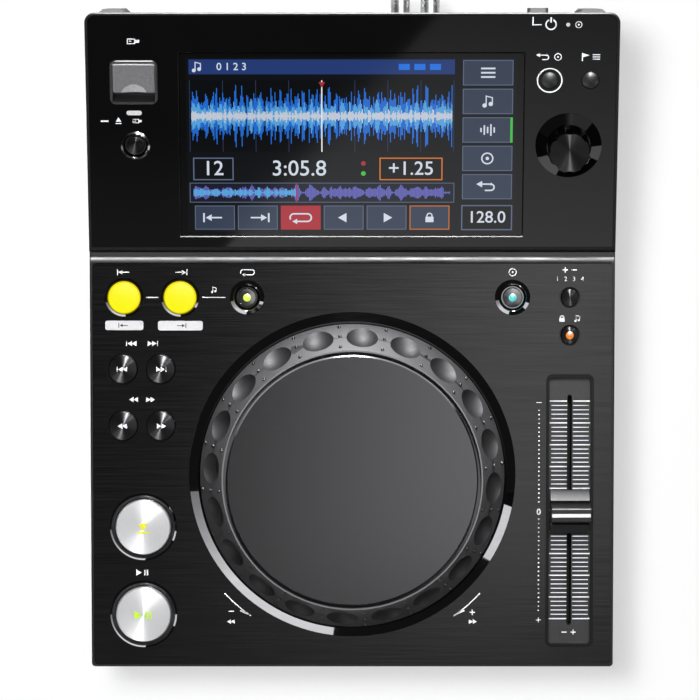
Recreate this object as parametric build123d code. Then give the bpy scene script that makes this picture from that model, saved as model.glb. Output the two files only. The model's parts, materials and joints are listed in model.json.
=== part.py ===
from build123d import *
import math
import os

os.makedirs("parts", exist_ok=True)

# Plan of the top: jog wheel, columns beside it, rows before and behind it
PLATTER_R = 53.0
GROOVE_W = 1.4
RING_EDGE = 0.6
CONE_RUN = 9.6
BEZEL_GAP = 0.4
BEZEL_W = 4.3
COLUMN_W = 42.0
FRONT_MARGIN = 13.2
KEY_ROW = 20.9
STEP_RUN = 5.8
CONSOLE_RUN = 100.2
LIP_OVERHANG = 3.7
JACK_REACH = 9.0
RING_R = PLATTER_R + GROOVE_W + RING_EDGE + CONE_RUN
BEZEL_R = RING_R + BEZEL_GAP + BEZEL_W
HALF = BEZEL_R + COLUMN_W
BODY_L = FRONT_MARGIN + 2 * BEZEL_R + KEY_ROW + STEP_RUN + CONSOLE_RUN - LIP_OVERHANG
BODY_FRONT = -(BODY_L + JACK_REACH) / 2
BODY_REAR = BODY_FRONT + BODY_L
LIP_REAR = BODY_REAR + LIP_OVERHANG
JACK_TIP = BODY_REAR + JACK_REACH
JOG_Y = BODY_FRONT + FRONT_MARGIN + BEZEL_R
STEP_FOOT_Y = JOG_Y + BEZEL_R + KEY_ROW
STEP_TOP_Y = STEP_FOOT_Y + STEP_RUN

# Housing
WALL = 2.5
FRONT_CORNER = 1.5
REAR_CORNER = 4.2
CASE_REAR_CORNER = 2.0
BASE_ROUND = 2.0
FOOT_H = 4.0
FOOT_R = 9.0
FOOT_INSET = 20.0
PART_Z = 24.0
DECK_Z = 76.0
SEAM = 0.15

# Deck layers: panel on a shelf that is moulded with the case
PANEL_T = 1.5
SHELF_T = 2.5
RIM_W = 1.0
RIM_DROP = 0.2
PAD_DEPTH = 0.4
PAD_MARGIN = 6.7

# Console wedge behind a low ledge with a half-round trim bead
STEP_H = 2.0
STEP_EDGE = 1.1
TILT = 14.0
COS = math.cos(math.radians(TILT))
SIN = math.sin(math.radians(TILT))
SLOPE_L = CONSOLE_RUN / COS
FASCIA_T = 2.0
FASCIA_RIM = 1.2
FASCIA_CORNER = 0.7
LIP_FACE = 6.9
TRIM_R = 1.4
TRIM_GAP = 0.15
TOP_ROUND = 0.5

# Display: the window lies between two side strips and two end strips
STRIP_LEFT = 38.9
STRIP_RIGHT = 39.6
STRIP_FRONT = 6.15
STRIP_BACK = 17.3
WINDOW_W = 2 * HALF - STRIP_LEFT - STRIP_RIGHT
WINDOW_L = SLOPE_L - STRIP_FRONT - STRIP_BACK
WINDOW_X = (STRIP_LEFT - STRIP_RIGHT) / 2
WINDOW_Y = STEP_TOP_Y + (STRIP_FRONT + WINDOW_L / 2) * COS
WINDOW_EASE = 0.4
GLASS_T = 1.2
GLASS_SINK = 0.2
GLASS_GAP = 0.2
LCD_MARGIN = 0.65
LCD_T = 5.0
LCD_GAP = 0.3
BRACKET_MARGIN = 3.8
BRACKET_END = 8.0
BRACKET_T = 1.2
BRACKET_LEG = 3.0

# Boards and switches
BOARD_T = 1.6
BOARD_DROP = 14.4
BOARD_SIDE = 9.8
BOARD_X = HALF - BOARD_SIDE
BOARD_LEFT_W = 26.5
BOARD_RIGHT_W = 21.5
BOARD_BACK = 3.7
BOARD_BACK_Y = STEP_FOOT_Y - BOARD_BACK
BOARD_STRIP = 22.0
BOARD_END = 10.0
BOARD_BOSS_R = 2.5
BOSS_MARGIN = 4.0
STOP_BOARD_W = 30.0
STOP_BOARD_L = 20.0
BOARD_EDGE = 7.0
BOARD_CORNER = 1.0
SWITCH_W = 6.0
SWITCH_H = 3.5
PLUNGER_R = 1.75
PLUNGER_H = 1.5
MAIN_Z = 26.0
MAIN_SIDE = 16.3
MAIN_L = 85.4
MAIN_GAP = 0.1
MAIN_BOSS_R = 3.0
MAIN_BOSS_INSET = 10.0
POST_R = 3.5
POST_INSET = 5.0
POST_FRONT = 8.0
POST_BACK = 11.0

# Keys
KEY_GAP = 0.3
FLANGE_W = 1.2
FLANGE_T = 1.2
FLANGE_PLAY = 0.05
STOP_GAP = 0.05
STEM_R = 2.0
KEY_TRAVEL = 0.8
TRANSPORT_TRAVEL = 1.2
LENS_DEPTH = 1.2
LENS_RISE = 0.3
RING_RISE = 0.9
RING_LAND = 0.3
RING_SLOPE = 30.0
CAP_DOME = 0.06
BUTTON_DOME = 0.3

# Key places from the nearest edges, and key radii
LOOP_SIDE = 14.6
LOOP_BACK = 14.5
LOOP_PITCH = 23.7
LOOP_IN_X = LOOP_SIDE - HALF
LOOP_OUT_X = LOOP_IN_X + LOOP_PITCH
LOOP_Y = STEP_FOOT_Y - LOOP_BACK
LOOP_R = 6.6
LOOP_RING_R = 8.1
LOOP_RISE = 2.4
RELOOP_PITCH = 28.4
RELOOP_X = LOOP_OUT_X + RELOOP_PITCH
RELOOP_R = 3.7
RELOOP_WELL_R = 5.4
RELOOP_RING_R = 7.2
TEMPO_SIDE = 19.1
TEMPO_X = HALF - TEMPO_SIDE
VINYL_PITCH = 24.3
VINYL_X = TEMPO_X - VINYL_PITCH
VINYL_R = 4.0
VINYL_WELL_R = 5.6
VINYL_RING_R = 7.4
LENS_R = 1.65
MASTER_PITCH = 16.1
MASTER_Y = LOOP_Y - MASTER_PITCH
TEMPO_R = 3.6
TEMPO_HOLE_R = 4.5
SMALL_RISE = 1.0
PAIR_SIDE = 22.0
PAIR_X = PAIR_SIDE - HALF
PAIR_PITCH = 16.0
PAIR_R = 6.0
PAIR_RISE = 2.6
TRACK_PITCH = 30.4
TRACK_Y = LOOP_Y - TRACK_PITCH
SEARCH_PITCH = 24.2
SEARCH_Y = TRACK_Y - SEARCH_PITCH
CUE_SIDE = 22.3
CUE_X = CUE_SIDE - HALF
PLAY_FRONT = 22.7
PLAY_Y = BODY_FRONT + PLAY_FRONT
CUE_PITCH = 37.5
CUE_Y = PLAY_Y + CUE_PITCH
TRANSPORT_R = 11.6
TRANSPORT_WELL_R = 13.2
TRANSPORT_RING_R = 14.2
TRANSPORT_RISE = 3.6
USB_SIDE = 20.1
USB_BACK = 29.0
USB_X = USB_SIDE - HALF
USB_Y = LIP_REAR - USB_BACK
STOP_SHIFT = 0.3
STOP_PITCH = 26.6
STOP_X = USB_X + STOP_SHIFT
STOP_Y = USB_Y - STOP_PITCH
STOP_R = 3.7
STOP_WELL_R = 5.0
STOP_RING_R = 6.1
BACK_SIDE = 29.0
BACK_BACK = 28.2
BACK_X = HALF - BACK_SIDE
BACK_Y = LIP_REAR - BACK_BACK
BACK_R = 3.4
TAG_PITCH = 17.0
TAG_X = BACK_X + TAG_PITCH
TAG_R = 3.5

# Rotary selector
SELECT_SIDE = 20.7
SELECT_PITCH = 27.3
SELECT_X = HALF - SELECT_SIDE
SELECT_Y = BACK_Y - SELECT_PITCH
SELECT_RING_R = 13.9
SELECT_RING_RISE = 2.2
SELECT_RING_EDGE = 0.4
SELECT_RING_LIP = 0.3
KNOB_R = 8.8
KNOB_TOP = 11.7
KNOB_FOOT = 0.9
KNOB_EASE = 0.4
KNOB_FLUTES = 8
FLUTE_R = 3.0
FLUTE_DEPTH = 0.9
SELECT_TRAVEL = 0.5
SHAFT_R = 3.0
SHAFT_TOP = 9.0
RUN_FIT = 0.05
ENCODER_W = 12.0
ENCODER_H = 6.5
ENCODER_NECK_R = 4.5

# Lights in the fascia
PILL_PITCH = 12.9
PILL_X = USB_X
PILL_Y = USB_Y - PILL_PITCH
PILL_L = 6.4
PILL_W = 2.0
STANDBY_SIDE = 21.7
STANDBY_BACK = 5.0
STANDBY_X = HALF - STANDBY_SIDE
STANDBY_Y = LIP_REAR - STANDBY_BACK
STANDBY_R = 0.85
LIGHT_GAP = 0.05

# USB port with its hinged cover
USB_W = 20.0
USB_L = 19.0
USB_CORNER = 2.7
USB_WALL = 1.1
POCKET_CORNER = 0.5
USB_RISE = 0.9
USB_EASE = 0.4
USB_DEPTH = 10.0
USB_FLOOR = 1.5
USB_FLANGE_W = 1.5
USB_FLANGE_T = 1.5
COVER_W = 17.4
COVER_L = 12.5
COVER_T = 1.6
COVER_GAP = 0.3
COVER_CORNER = 1.4
BARREL_R = 0.8
PIN_R = 0.6
PIN_L = 0.7
THUMB_R = 5.9
THUMB_OUT = 2.35
THUMB_DEPTH = 1.2
PLUG_W = 13.0
PLUG_L = 5.6
PLUG_DEPTH = 14.0
PLUG_WALL = 0.4
PLUG_CORNER = 0.5
PLUG_MOUTH = 10.0
COLLAR_W = 1.5
COLLAR_T = 1.0
TONGUE_T = 1.8
TONGUE_L = 9.0
TONGUE_SIDE = 1.0

# Jog wheel
PLATTER_T = 3.0
PLATTER_RISE = 21.0
PLATTER_EDGE = 0.6
RING_TOP_DROP = 0.6
RING_SKIRT = 3.5
RING_FOOT_DROP = 0.5
RING_WALL = 4.6
RING_FLANGE_T = 1.5
RING_FLANGE_W = 4.4
DIMPLES = 20
DIMPLE_R = 7.0
DIMPLE_BALL = 10.0
DIMPLE_START = 86.0
HUB_T = 2.0
HUB_MARGIN = 0.4
HUB_RIBS = 6
HUB_RIB_T = 2.0
HUB_RIB_R = 44.0
HUB_RIB_H = 12.0
SLEEVE_WALL = 4.0
SPINDLE_R = 4.0
BUSH_WALL = 2.0
BUSH_L = 22.0
THRUST_GAP = 0.1
SHOULDER_R = 6.0
SHOULDER_H = 7.0
SPINDLE_FOOT_R = 9.0
SPINDLE_FOOT_H = 2.0
CLIP_T = 1.0
CLIP_W = 2.2
CLIP_ROOM = 1.0
MOUNT_DROP = 21.0
MOUNT_T = 3.0
MOUNT_R = 32.0
MOUNT_ARM_W = 16.0
MOUNT_MARGIN = 4.7
MOUNT_REACH = BEZEL_R + MOUNT_MARGIN
MOUNT_BOSS_R = 4.5
DISC_R = 30.0
DISC_T = 1.0
DISC_LIFT = 4.0
DISC_SLOTS = 24
SENSOR_W = 8.0
SENSOR_L = 12.0
SENSOR_GAP = 1.0
SENSOR_CAP = 4.0
BEZEL_RISE = 2.4
BEZEL_LOW = 0.3
BEZEL_SEAT = 2.8
BEZEL_SKIRT = 3.5
BEZEL_LAND = 0.7
BEZEL_EASE = 0.5

# Pitch fader: the tray reaches from the front margin to the key behind it
FADER_SIDE = 18.8
FADER_X = HALF - FADER_SIDE
TRAY_FRONT = 8.75
TRAY_BACK = 16.85
TRAY_W = 19.9
TRAY_L = MASTER_Y - BODY_FRONT - TRAY_FRONT - TRAY_BACK
FADER_Y = BODY_FRONT + TRAY_FRONT + TRAY_L / 2
TRAY_CORNER = 2.5
TRAY_WALL = 1.15
TRAY_LIP = 0.45
TRAY_RISE = 0.2
TRAY_DEPTH = 3.0
TRAY_FLOOR = 2.5
SLOT_W = 2.0
SLOT_END = 8.8
SLOT_L = TRAY_L - 2 * SLOT_END
CAP_W = 16.5
CAP_L = 18.5
CAP_FOOT_DROP = 1.0
CAP_SHOULDER = 2.6
CAP_CREST = 5.8
CREST_IN = 4.05
CAP_DIP = 4.9
CAP_RIDGE = 15.5
RIDGE_W = 6.0
RIDGE_FLARE = 1.4
RIDGE_EASE = 0.7
LEVER_T = 1.2
LEVER_L = 5.0
LEVER_SINK = 4.0
CARRIAGE_W = 7.4
CARRIAGE_L = 8.0
CARRIAGE_H = 5.0
POT_W = 13.0
POT_END = 1.25
POT_L = TRAY_L - 2 * POT_END
POT_H = 9.0
POT_WALL = 1.5
POT_PLAY = 0.3

# Rear panel and its sockets
RIB_SIDE = 9.8
RIB_X = HALF - RIB_SIDE
RIB_W = 11.0
RIB_OUT = 5.0
RIB_LOW = 30.0
RIB_HIGH = 75.0
SOCKET_GAP = 0.1
SOCKET_PROUD = 0.3
JACK_X = 27.1
JACK_PITCH = 12.8
JACK_R = 4.15
JACK_COLLAR_R = 5.4
JACK_COLLAR_T = 1.0
JACK_SHELL = 0.7
JACK_CORE_R = 2.4
JACK_BORE_R = 1.6
JACK_AXIS = 7.0
JACK_BLOCK_W = 26.0
JACK_BLOCK_L = 12.0
LAN_X = -10.0
LAN_W = 16.5
LAN_H = 13.6
LAN_L = 21.0
LAN_PORT_W = 11.8
LAN_PORT_H = 9.0
LAN_PORT_L = 13.0
USBB_X = -38.0
USBB_W = 12.0
USBB_H = 11.0
USBB_L = 16.0
USBB_PORT_W = 9.0
USBB_PORT_H = 8.2
USBB_PORT_L = 9.0
USBB_TONGUE_W = 5.6
USBB_TONGUE_H = 3.2
DC_SIDE = 49.3
DC_X = HALF - DC_SIDE
DC_W = 9.5
DC_H = 11.0
DC_L = 14.0
DC_BORE_R = 3.2
DC_PIN_R = 1.0
DC_PORT_L = 9.0
POWER_PITCH = 18.0
POWER_X = DC_X + POWER_PITCH
POWER_W = 9.0
POWER_H = 6.0
POWER_REACH = 5.2
POWER_AXIS = 5.0
POWER_TRAVEL = 2.0
POWER_CORNER = 1.5
POWER_STEM = 4.2
POWER_SWITCH_W = 10.0
POWER_SWITCH_L = 12.0

# Worked-out heights and places
INNER = HALF - WALL
SHELF_TOP = DECK_Z - PANEL_T
SHELF_UNDER = SHELF_TOP - SHELF_T
RIM_Z = DECK_Z - RIM_DROP
FLOOR_Z = FOOT_H + WALL
DECK_SEAT = PANEL_T + SHELF_T
CONSOLE_SEAT = FASCIA_T + SHELF_T
LIP_Z = DECK_Z + STEP_H
MAIN_TOP = MAIN_Z + BOARD_T
console = Plane(origin=(0, STEP_TOP_Y, LIP_Z), x_dir=(1, 0, 0), z_dir=(0, -SIN, COS))


def slope_v(y):
    """Distance up the sloping console that lies over a depth y."""
    return (y - STEP_TOP_Y) / COS


def slope_z(y, depth):
    """Height of the plane that lies a depth under the console's top."""
    return LIP_Z + (y - STEP_TOP_Y) * SIN / COS - depth / COS


def on_deck(x, y, up=0.0):
    return Location((x, y, DECK_Z + up))


def on_console(x, y, up=0.0):
    return console.location * Location((x, slope_v(y), up))


def disc(radius, z0, z1):
    return Pos(0, 0, z0) * extrude(Circle(radius), z1 - z0)


def tube(outer, inner, z0, z1):
    return Pos(0, 0, z0) * extrude(Circle(outer) - Circle(inner), z1 - z0)


def slab(width, length, corner, z0, z1):
    """Upright prism with rounded corners, centred on the axis."""
    return Pos(0, 0, z0) * extrude(RectangleRounded(width, length, corner), z1 - z0)


def block(x0, x1, y0, y1, z0, z1):
    middle = Pos((x0 + x1) / 2, (y0 + y1) / 2, (z0 + z1) / 2)
    return middle * Box(x1 - x0, y1 - y0, z1 - z0)


def turned(points):
    """Solid of revolution about the axis from radius and height points."""
    return revolve(Plane.XZ * make_face(Polyline(*points, close=True)), axis=Axis.Z)


def across(points, half_width):
    """Side profile of depth and height points, drawn across the width."""
    face = Plane.YZ * make_face(Polyline(*points, close=True))
    return Pos(-half_width, 0, 0) * extrude(face, 2 * half_width)


def crowned(solid, radius, top, sag):
    """Rounds the top of a turned solid to a shallow dome."""
    ball = (radius**2 + sag**2) / (2 * sag)
    return solid & Pos(0, 0, top - ball) * Sphere(ball)


def plan(half_width, y0, y1, front_r, rear_r, z0, z1):
    """Upright body over a rectangle with its own front and rear corners."""
    outline = Pos(0, (y0 + y1) / 2) * Rectangle(2 * half_width, y1 - y0)
    outline = fillet(outline.vertices().group_by(Axis.Y)[-1], rear_r)
    outline = fillet(outline.vertices().group_by(Axis.Y)[0], front_r)
    return Pos(0, 0, z0) * extrude(outline, z1 - z0)


def node(name, *shapes):
    solids = [solid for shape in shapes for solid in shape.solids()]
    whole = solids[0] if len(solids) == 1 else Compound(children=solids)
    export_step(whole, "parts/" + name + ".step")


# Layout of the keys: place, cap radius, rise, travel, ring, well, hole, lens and dome
def spec(x, y, cap, rise, travel=KEY_TRAVEL, ring=0.0, well=0.0, hole=0.0, lens=0.0, dome=CAP_DOME):
    return dict(x=x, y=y, cap=cap, rise=rise, travel=travel, ring=ring, well=well, hole=hole, lens=lens, dome=dome)


PAIR_L = PAIR_X - PAIR_PITCH / 2
PAIR_RT = PAIR_X + PAIR_PITCH / 2
deck_keys = {
    "loop_in": spec(LOOP_IN_X, LOOP_Y, LOOP_R, LOOP_RISE, ring=LOOP_RING_R),
    "loop_out": spec(LOOP_OUT_X, LOOP_Y, LOOP_R, LOOP_RISE, ring=LOOP_RING_R),
    "reloop": spec(RELOOP_X, LOOP_Y, RELOOP_R, SMALL_RISE, ring=RELOOP_RING_R, well=RELOOP_WELL_R, lens=LENS_R),
    "vinyl": spec(VINYL_X, LOOP_Y, VINYL_R, SMALL_RISE, ring=VINYL_RING_R, well=VINYL_WELL_R, lens=LENS_R),
    "tempo_range": spec(TEMPO_X, LOOP_Y, TEMPO_R, SMALL_RISE, hole=TEMPO_HOLE_R),
    "master_tempo": spec(TEMPO_X, MASTER_Y, TEMPO_R, SMALL_RISE, hole=TEMPO_HOLE_R, lens=LENS_R),
    "track_prev": spec(PAIR_L, TRACK_Y, PAIR_R, PAIR_RISE),
    "track_next": spec(PAIR_RT, TRACK_Y, PAIR_R, PAIR_RISE),
    "search_rev": spec(PAIR_L, SEARCH_Y, PAIR_R, PAIR_RISE),
    "search_fwd": spec(PAIR_RT, SEARCH_Y, PAIR_R, PAIR_RISE),
    "cue": spec(CUE_X, CUE_Y, TRANSPORT_R, TRANSPORT_RISE, TRANSPORT_TRAVEL, TRANSPORT_RING_R, TRANSPORT_WELL_R),
    "play": spec(CUE_X, PLAY_Y, TRANSPORT_R, TRANSPORT_RISE, TRANSPORT_TRAVEL, TRANSPORT_RING_R, TRANSPORT_WELL_R),
}
console_keys = {
    "usb_stop": spec(STOP_X, STOP_Y, STOP_R, SMALL_RISE, ring=STOP_RING_R, well=STOP_WELL_R),
    "back": spec(BACK_X, BACK_Y, BACK_R, SMALL_RISE, dome=BUTTON_DOME),
    "tag": spec(TAG_X, BACK_Y, TAG_R, SMALL_RISE, dome=BUTTON_DOME),
}


def panel_hole(key):
    """Radius that the outer panel leaves open round a key or its ring."""
    if key["ring"]:
        return key["ring"] + SEAM
    return max(key["hole"], key["cap"] + KEY_GAP)


def key_solid(key, seat):
    """Cap, retaining flange under the shelf and stem over the switch."""
    cap = key["cap"]
    top = key["rise"]
    flange_top = -seat - FLANGE_PLAY
    flange_foot = flange_top - FLANGE_T
    stem_foot = -BOARD_DROP + SWITCH_H + PLUNGER_H + key["travel"] + STOP_GAP
    edge = 0.12 * cap
    profile = [
        (0, stem_foot),
        (STEM_R, stem_foot),
        (STEM_R, flange_foot),
        (cap + FLANGE_W, flange_foot),
        (cap + FLANGE_W, flange_top),
        (cap, flange_top),
        (cap, top - edge),
        (cap - edge / 2, top),
        (0, top),
    ]
    solid = crowned(turned(profile), cap, top, key["dome"] * cap)
    if key["lens"]:
        solid = solid - disc(key["lens"], top - LENS_DEPTH, top + LENS_RISE)
    return solid


def lens_solid(key):
    top = key["rise"]
    body = disc(key["lens"], top - LENS_DEPTH, top + LENS_RISE)
    return crowned(body, key["lens"], top + LENS_RISE, LENS_RISE)


def ring_solid(key, seat):
    """Ring that seats on the shelf: a cone that falls outward, with an optional well down to the cap."""
    outer = key["ring"]
    inner = key["cap"] + KEY_GAP
    mouth = key["well"] or inner
    crest = mouth + RING_LAND
    low = RING_RISE - (outer - crest) * math.tan(math.radians(RING_SLOPE))
    profile = [
        (inner, -seat),
        (outer, -seat),
        (outer, low),
        (crest, RING_RISE),
        (mouth, RING_RISE - RING_LAND),
    ]
    if key["well"]:
        bottom = SEAM - seat + FASCIA_T / 2
        profile += [(inner + (mouth - inner) / 3, bottom), (inner, bottom)]
    return turned(profile)


def tact_switch():
    body = Pos(0, 0, SWITCH_H / 2) * Box(SWITCH_W, SWITCH_W, SWITCH_H)
    return Pos(0, 0, -BOARD_DROP) * (body + disc(PLUNGER_R, 0, SWITCH_H + PLUNGER_H))


# Bottom case: tray with board bosses and posts for the upper case
post_rows = (BODY_FRONT + POST_FRONT, JOG_Y, BODY_REAR - POST_BACK)
posts = [(side * (HALF - POST_INSET), y) for side in (-1, 1) for y in post_rows]
main_half = HALF - MAIN_SIDE
main_rear = BODY_REAR - WALL - MAIN_GAP
main_front = main_rear - MAIN_L
boss_x = main_half - MAIN_BOSS_INSET
boss_rows = (main_front + MAIN_BOSS_INSET, main_rear - MAIN_BOSS_INSET)
boss_spots = [(x, y) for x in (-boss_x, 0, boss_x) for y in boss_rows]
tray = plan(HALF, BODY_FRONT, BODY_REAR, FRONT_CORNER, CASE_REAR_CORNER, FOOT_H, PART_Z)
tray = fillet(tray.faces().sort_by(Axis.Z)[0].edges(), BASE_ROUND)
tray = tray - block(-INNER, INNER, BODY_FRONT + WALL, BODY_REAR - WALL, FLOOR_Z, PART_Z)
tray = tray + [Pos(x, y, 0) * disc(MAIN_BOSS_R, FLOOR_Z, MAIN_Z) for x, y in boss_spots]
tray = tray + [Pos(x, y, 0) * disc(POST_R, FLOOR_Z, PART_Z) for x, y in posts]
node("bottom_case", tray)

feet_x = HALF - FOOT_INSET
feet_y = (BODY_FRONT + FOOT_INSET, BODY_REAR - FOOT_INSET)
foot = turned([(0, 0), (FOOT_R - 1, 0), (FOOT_R, 1), (FOOT_R, FOOT_H), (0, FOOT_H)])
node("rubber_feet", *[Pos(x, y, 0) * foot for x in (-feet_x, feet_x) for y in feet_y])

# Jog places that the shelf and the panel share
bezel_inner = RING_R + BEZEL_GAP
shelf_jog_r = BEZEL_R - BEZEL_SEAT
mount_z = DECK_Z - MOUNT_DROP
mount_spots = [
    (MOUNT_REACH * math.cos(math.radians(a)), JOG_Y + MOUNT_REACH * math.sin(math.radians(a)))
    for a in (90, 210, 330)
]
board_bosses = [
    (CUE_X, (CUE_Y + PLAY_Y) / 2),
    (CUE_X, (SEARCH_Y + CUE_Y) / 2),
    ((LOOP_OUT_X + RELOOP_X) / 2, LOOP_Y),
    (VINYL_X / 3, LOOP_Y),
    ((VINYL_X + TEMPO_X) / 2, LOOP_Y),
]

# Deck case: walls, shelf, rim round the panel and bosses under the shelf
inside_front = BODY_FRONT + WALL
case = plan(HALF, BODY_FRONT, BODY_REAR, FRONT_CORNER, CASE_REAR_CORNER, PART_Z, RIM_Z)
case = chamfer(case.faces().sort_by(Axis.Z)[-1].edges().sort_by(Axis.Y)[0], RIM_W / 2)
step_inner = STEP_TOP_Y + WALL
case = case - block(-INNER, INNER, inside_front, BODY_REAR, PART_Z, SHELF_UNDER)
case = case - block(-INNER, INNER, step_inner, BODY_REAR, SHELF_UNDER, RIM_Z)
panel_mid_y = (BODY_FRONT + RIM_W + STEP_FOOT_Y) / 2
panel_l = STEP_FOOT_Y - BODY_FRONT - RIM_W
case = case - Pos(0, panel_mid_y, 0) * slab(2 * (HALF - RIM_W), panel_l, FRONT_CORNER, SHELF_TOP, RIM_Z)
case = case + [Pos(x, y, 0) * disc(POST_R, PART_Z, SHELF_UNDER) for x, y in posts]
case = case + [Pos(x, y, 0) * disc(BOARD_BOSS_R, DECK_Z - BOARD_DROP, SHELF_UNDER) for x, y in board_bosses]
case = case + [Pos(x, y, 0) * disc(MOUNT_BOSS_R, mount_z, SHELF_UNDER) for x, y in mount_spots]
shelf_cuts = [on_deck(k["x"], k["y"]) * disc(k["cap"] + KEY_GAP, -DECK_SEAT, 0) for k in deck_keys.values()]
shelf_cuts.append(Pos(0, JOG_Y, 0) * disc(shelf_jog_r, SHELF_UNDER, RIM_Z))
tray_body_w = TRAY_W - 2 * TRAY_LIP
tray_body_l = TRAY_L - 2 * TRAY_LIP
shelf_slot = slab(tray_body_w + 2 * SEAM, tray_body_l + 2 * SEAM, TRAY_CORNER, SHELF_UNDER, RIM_Z)
shelf_cuts.append(Pos(FADER_X, FADER_Y, 0) * shelf_slot)
node("deck_case", case - shelf_cuts)

# Deck panel with shallow pads round the two key pairs
panel = slab(2 * (HALF - RIM_W - SEAM), panel_l - 2 * SEAM, FRONT_CORNER, SHELF_TOP, DECK_Z)
panel = Pos(0, panel_mid_y, 0) * panel
panel_cuts = [on_deck(k["x"], k["y"]) * disc(panel_hole(k), -PANEL_T, 1) for k in deck_keys.values()]
panel_cuts.append(Pos(0, JOG_Y, 0) * disc(BEZEL_R + SEAM, SHELF_TOP, DECK_Z))
panel_slot = slab(TRAY_W + 2 * SEAM, TRAY_L + 2 * SEAM, TRAY_CORNER + SEAM, SHELF_TOP, DECK_Z)
panel_cuts.append(Pos(FADER_X, FADER_Y, 0) * panel_slot)
pad_w = PAIR_PITCH + 2 * PAD_MARGIN
pad_l = 2 * PAD_MARGIN + 1
for pad_y in (TRACK_Y, SEARCH_Y):
    panel_cuts.append(on_deck(PAIR_X, pad_y) * slab(pad_w, pad_l, pad_l / 2 - 0.1, -PAD_DEPTH, 1))
node("deck_panel", panel - panel_cuts)

# Console case: wedge with an overhanging rear lip, hollow from below
lip_top = slope_z(LIP_REAR, 0)
lip_foot = lip_top - LIP_FACE
wedge = across(
    [
        (STEP_TOP_Y - STEP_EDGE, RIM_Z),
        (STEP_TOP_Y, LIP_Z),
        (LIP_REAR, lip_top),
        (LIP_REAR, lip_foot),
        (BODY_REAR, lip_foot - (LIP_REAR - BODY_REAR)),
        (BODY_REAR, RIM_Z),
    ],
    HALF,
)
wedge = wedge & plan(HALF, STEP_FOOT_Y - 1, LIP_REAR, FRONT_CORNER, REAR_CORNER, RIM_Z, lip_top + 1)
wedge_top = wedge.faces().filter_by(lambda f: f.normal_at().Z > 0.9).sort_by(Axis.Z)[-1]
wedge = fillet(wedge_top.edges(), TOP_ROUND)
hollow = across(
    [
        (step_inner, SHELF_UNDER - SHELF_T),
        (step_inner, slope_z(step_inner, CONSOLE_SEAT)),
        (BODY_REAR, slope_z(BODY_REAR, CONSOLE_SEAT)),
        (BODY_REAR, SHELF_UNDER - SHELF_T),
    ],
    INNER,
)
fascia_half = HALF - FASCIA_RIM
fascia_end = SLOPE_L - FASCIA_RIM
fascia_spot = on_console(0, STEP_TOP_Y)
fascia_r = REAR_CORNER - FASCIA_RIM
recess = plan(fascia_half, FASCIA_RIM, fascia_end, FASCIA_CORNER, fascia_r, -FASCIA_T, 1)
wedge = wedge - hollow - fascia_spot * recess
window = on_console(WINDOW_X, WINDOW_Y)
lcd_w = WINDOW_W - 2 * GLASS_GAP - 2 * LCD_MARGIN
lcd_l = WINDOW_L - 2 * GLASS_GAP - 2 * LCD_MARGIN
console_cuts = [
    on_console(k["x"], k["y"]) * disc(k["cap"] + KEY_GAP, -CONSOLE_SEAT, 0) for k in console_keys.values()
]
console_cuts.append(window * slab(lcd_w + 2 * LCD_GAP, lcd_l + 2 * LCD_GAP, 1, -CONSOLE_SEAT, 0))
console_cuts.append(on_console(SELECT_X, SELECT_Y) * disc(ENCODER_NECK_R + KEY_GAP, -CONSOLE_SEAT, 0))
usb_spot = on_console(USB_X, USB_Y)
usb_hole = slab(USB_W + 2 * SEAM, USB_L + 2 * SEAM, USB_CORNER + SEAM, -CONSOLE_SEAT, 1)
console_cuts.append(usb_spot * usb_hole)
right_mid = (BACK_Y + SELECT_Y) / 2
console_board_bosses = [
    (STOP_X - STOP_BOARD_W / 2 + BOSS_MARGIN, STOP_Y),
    (STOP_X + STOP_BOARD_W / 2 - BOSS_MARGIN, STOP_Y),
    (BACK_X - BOARD_EDGE + BOSS_MARGIN, right_mid),
    (TAG_X + BOARD_EDGE - BOSS_MARGIN, right_mid),
]
wedge = wedge + [on_console(x, y) * disc(BOARD_BOSS_R, -BOARD_DROP, -CONSOLE_SEAT) for x, y in console_board_bosses]
node("console_case", wedge - console_cuts)

# Half-round trim bead that lies on the ledge
bead_y = STEP_FOOT_Y + TRIM_GAP + TRIM_R
bead = Pos(0, bead_y, RIM_Z) * Rot(0, 90, 0) * Cylinder(TRIM_R, 2 * HALF - RIM_W)
node("console_trim", bead - block(-HALF, HALF, STEP_FOOT_Y, STEP_TOP_Y, RIM_Z - TRIM_R, RIM_Z))

# Screen fascia with an eased window
fascia = plan(fascia_half - SEAM, FASCIA_RIM + SEAM, fascia_end - SEAM, FASCIA_CORNER, fascia_r, -FASCIA_T, 0)
fascia = fascia_spot * fascia
fascia_cuts = [on_console(k["x"], k["y"]) * disc(panel_hole(k), -FASCIA_T, 1) for k in console_keys.values()]
fascia_cuts.append(window * slab(WINDOW_W, WINDOW_L, 1, -FASCIA_T, 1))
window_ease = Pos(0, 0, -WINDOW_EASE) * extrude(Rectangle(WINDOW_W, WINDOW_L), WINDOW_EASE, taper=-45)
fascia_cuts.append(window * window_ease)
fascia_cuts.append(on_console(SELECT_X, SELECT_Y) * disc(ENCODER_NECK_R + KEY_GAP, -FASCIA_T, 1))
fascia_cuts.append(usb_spot * usb_hole)
pill_spot = on_console(PILL_X, PILL_Y)
standby_spot = on_console(STANDBY_X, STANDBY_Y)
fascia_cuts.append(pill_spot * slab(PILL_L, PILL_W, PILL_W / 2 - 0.05, -FASCIA_T, 1))
fascia_cuts.append(standby_spot * disc(STANDBY_R, -FASCIA_T, 1))
node("screen_fascia", fascia - fascia_cuts)
pill_l = PILL_L - 2 * LIGHT_GAP
pill_w = PILL_W - 2 * LIGHT_GAP
pill = slab(pill_l, pill_w, pill_w / 2 - 0.05, -FASCIA_T, LIGHT_GAP)
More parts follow.
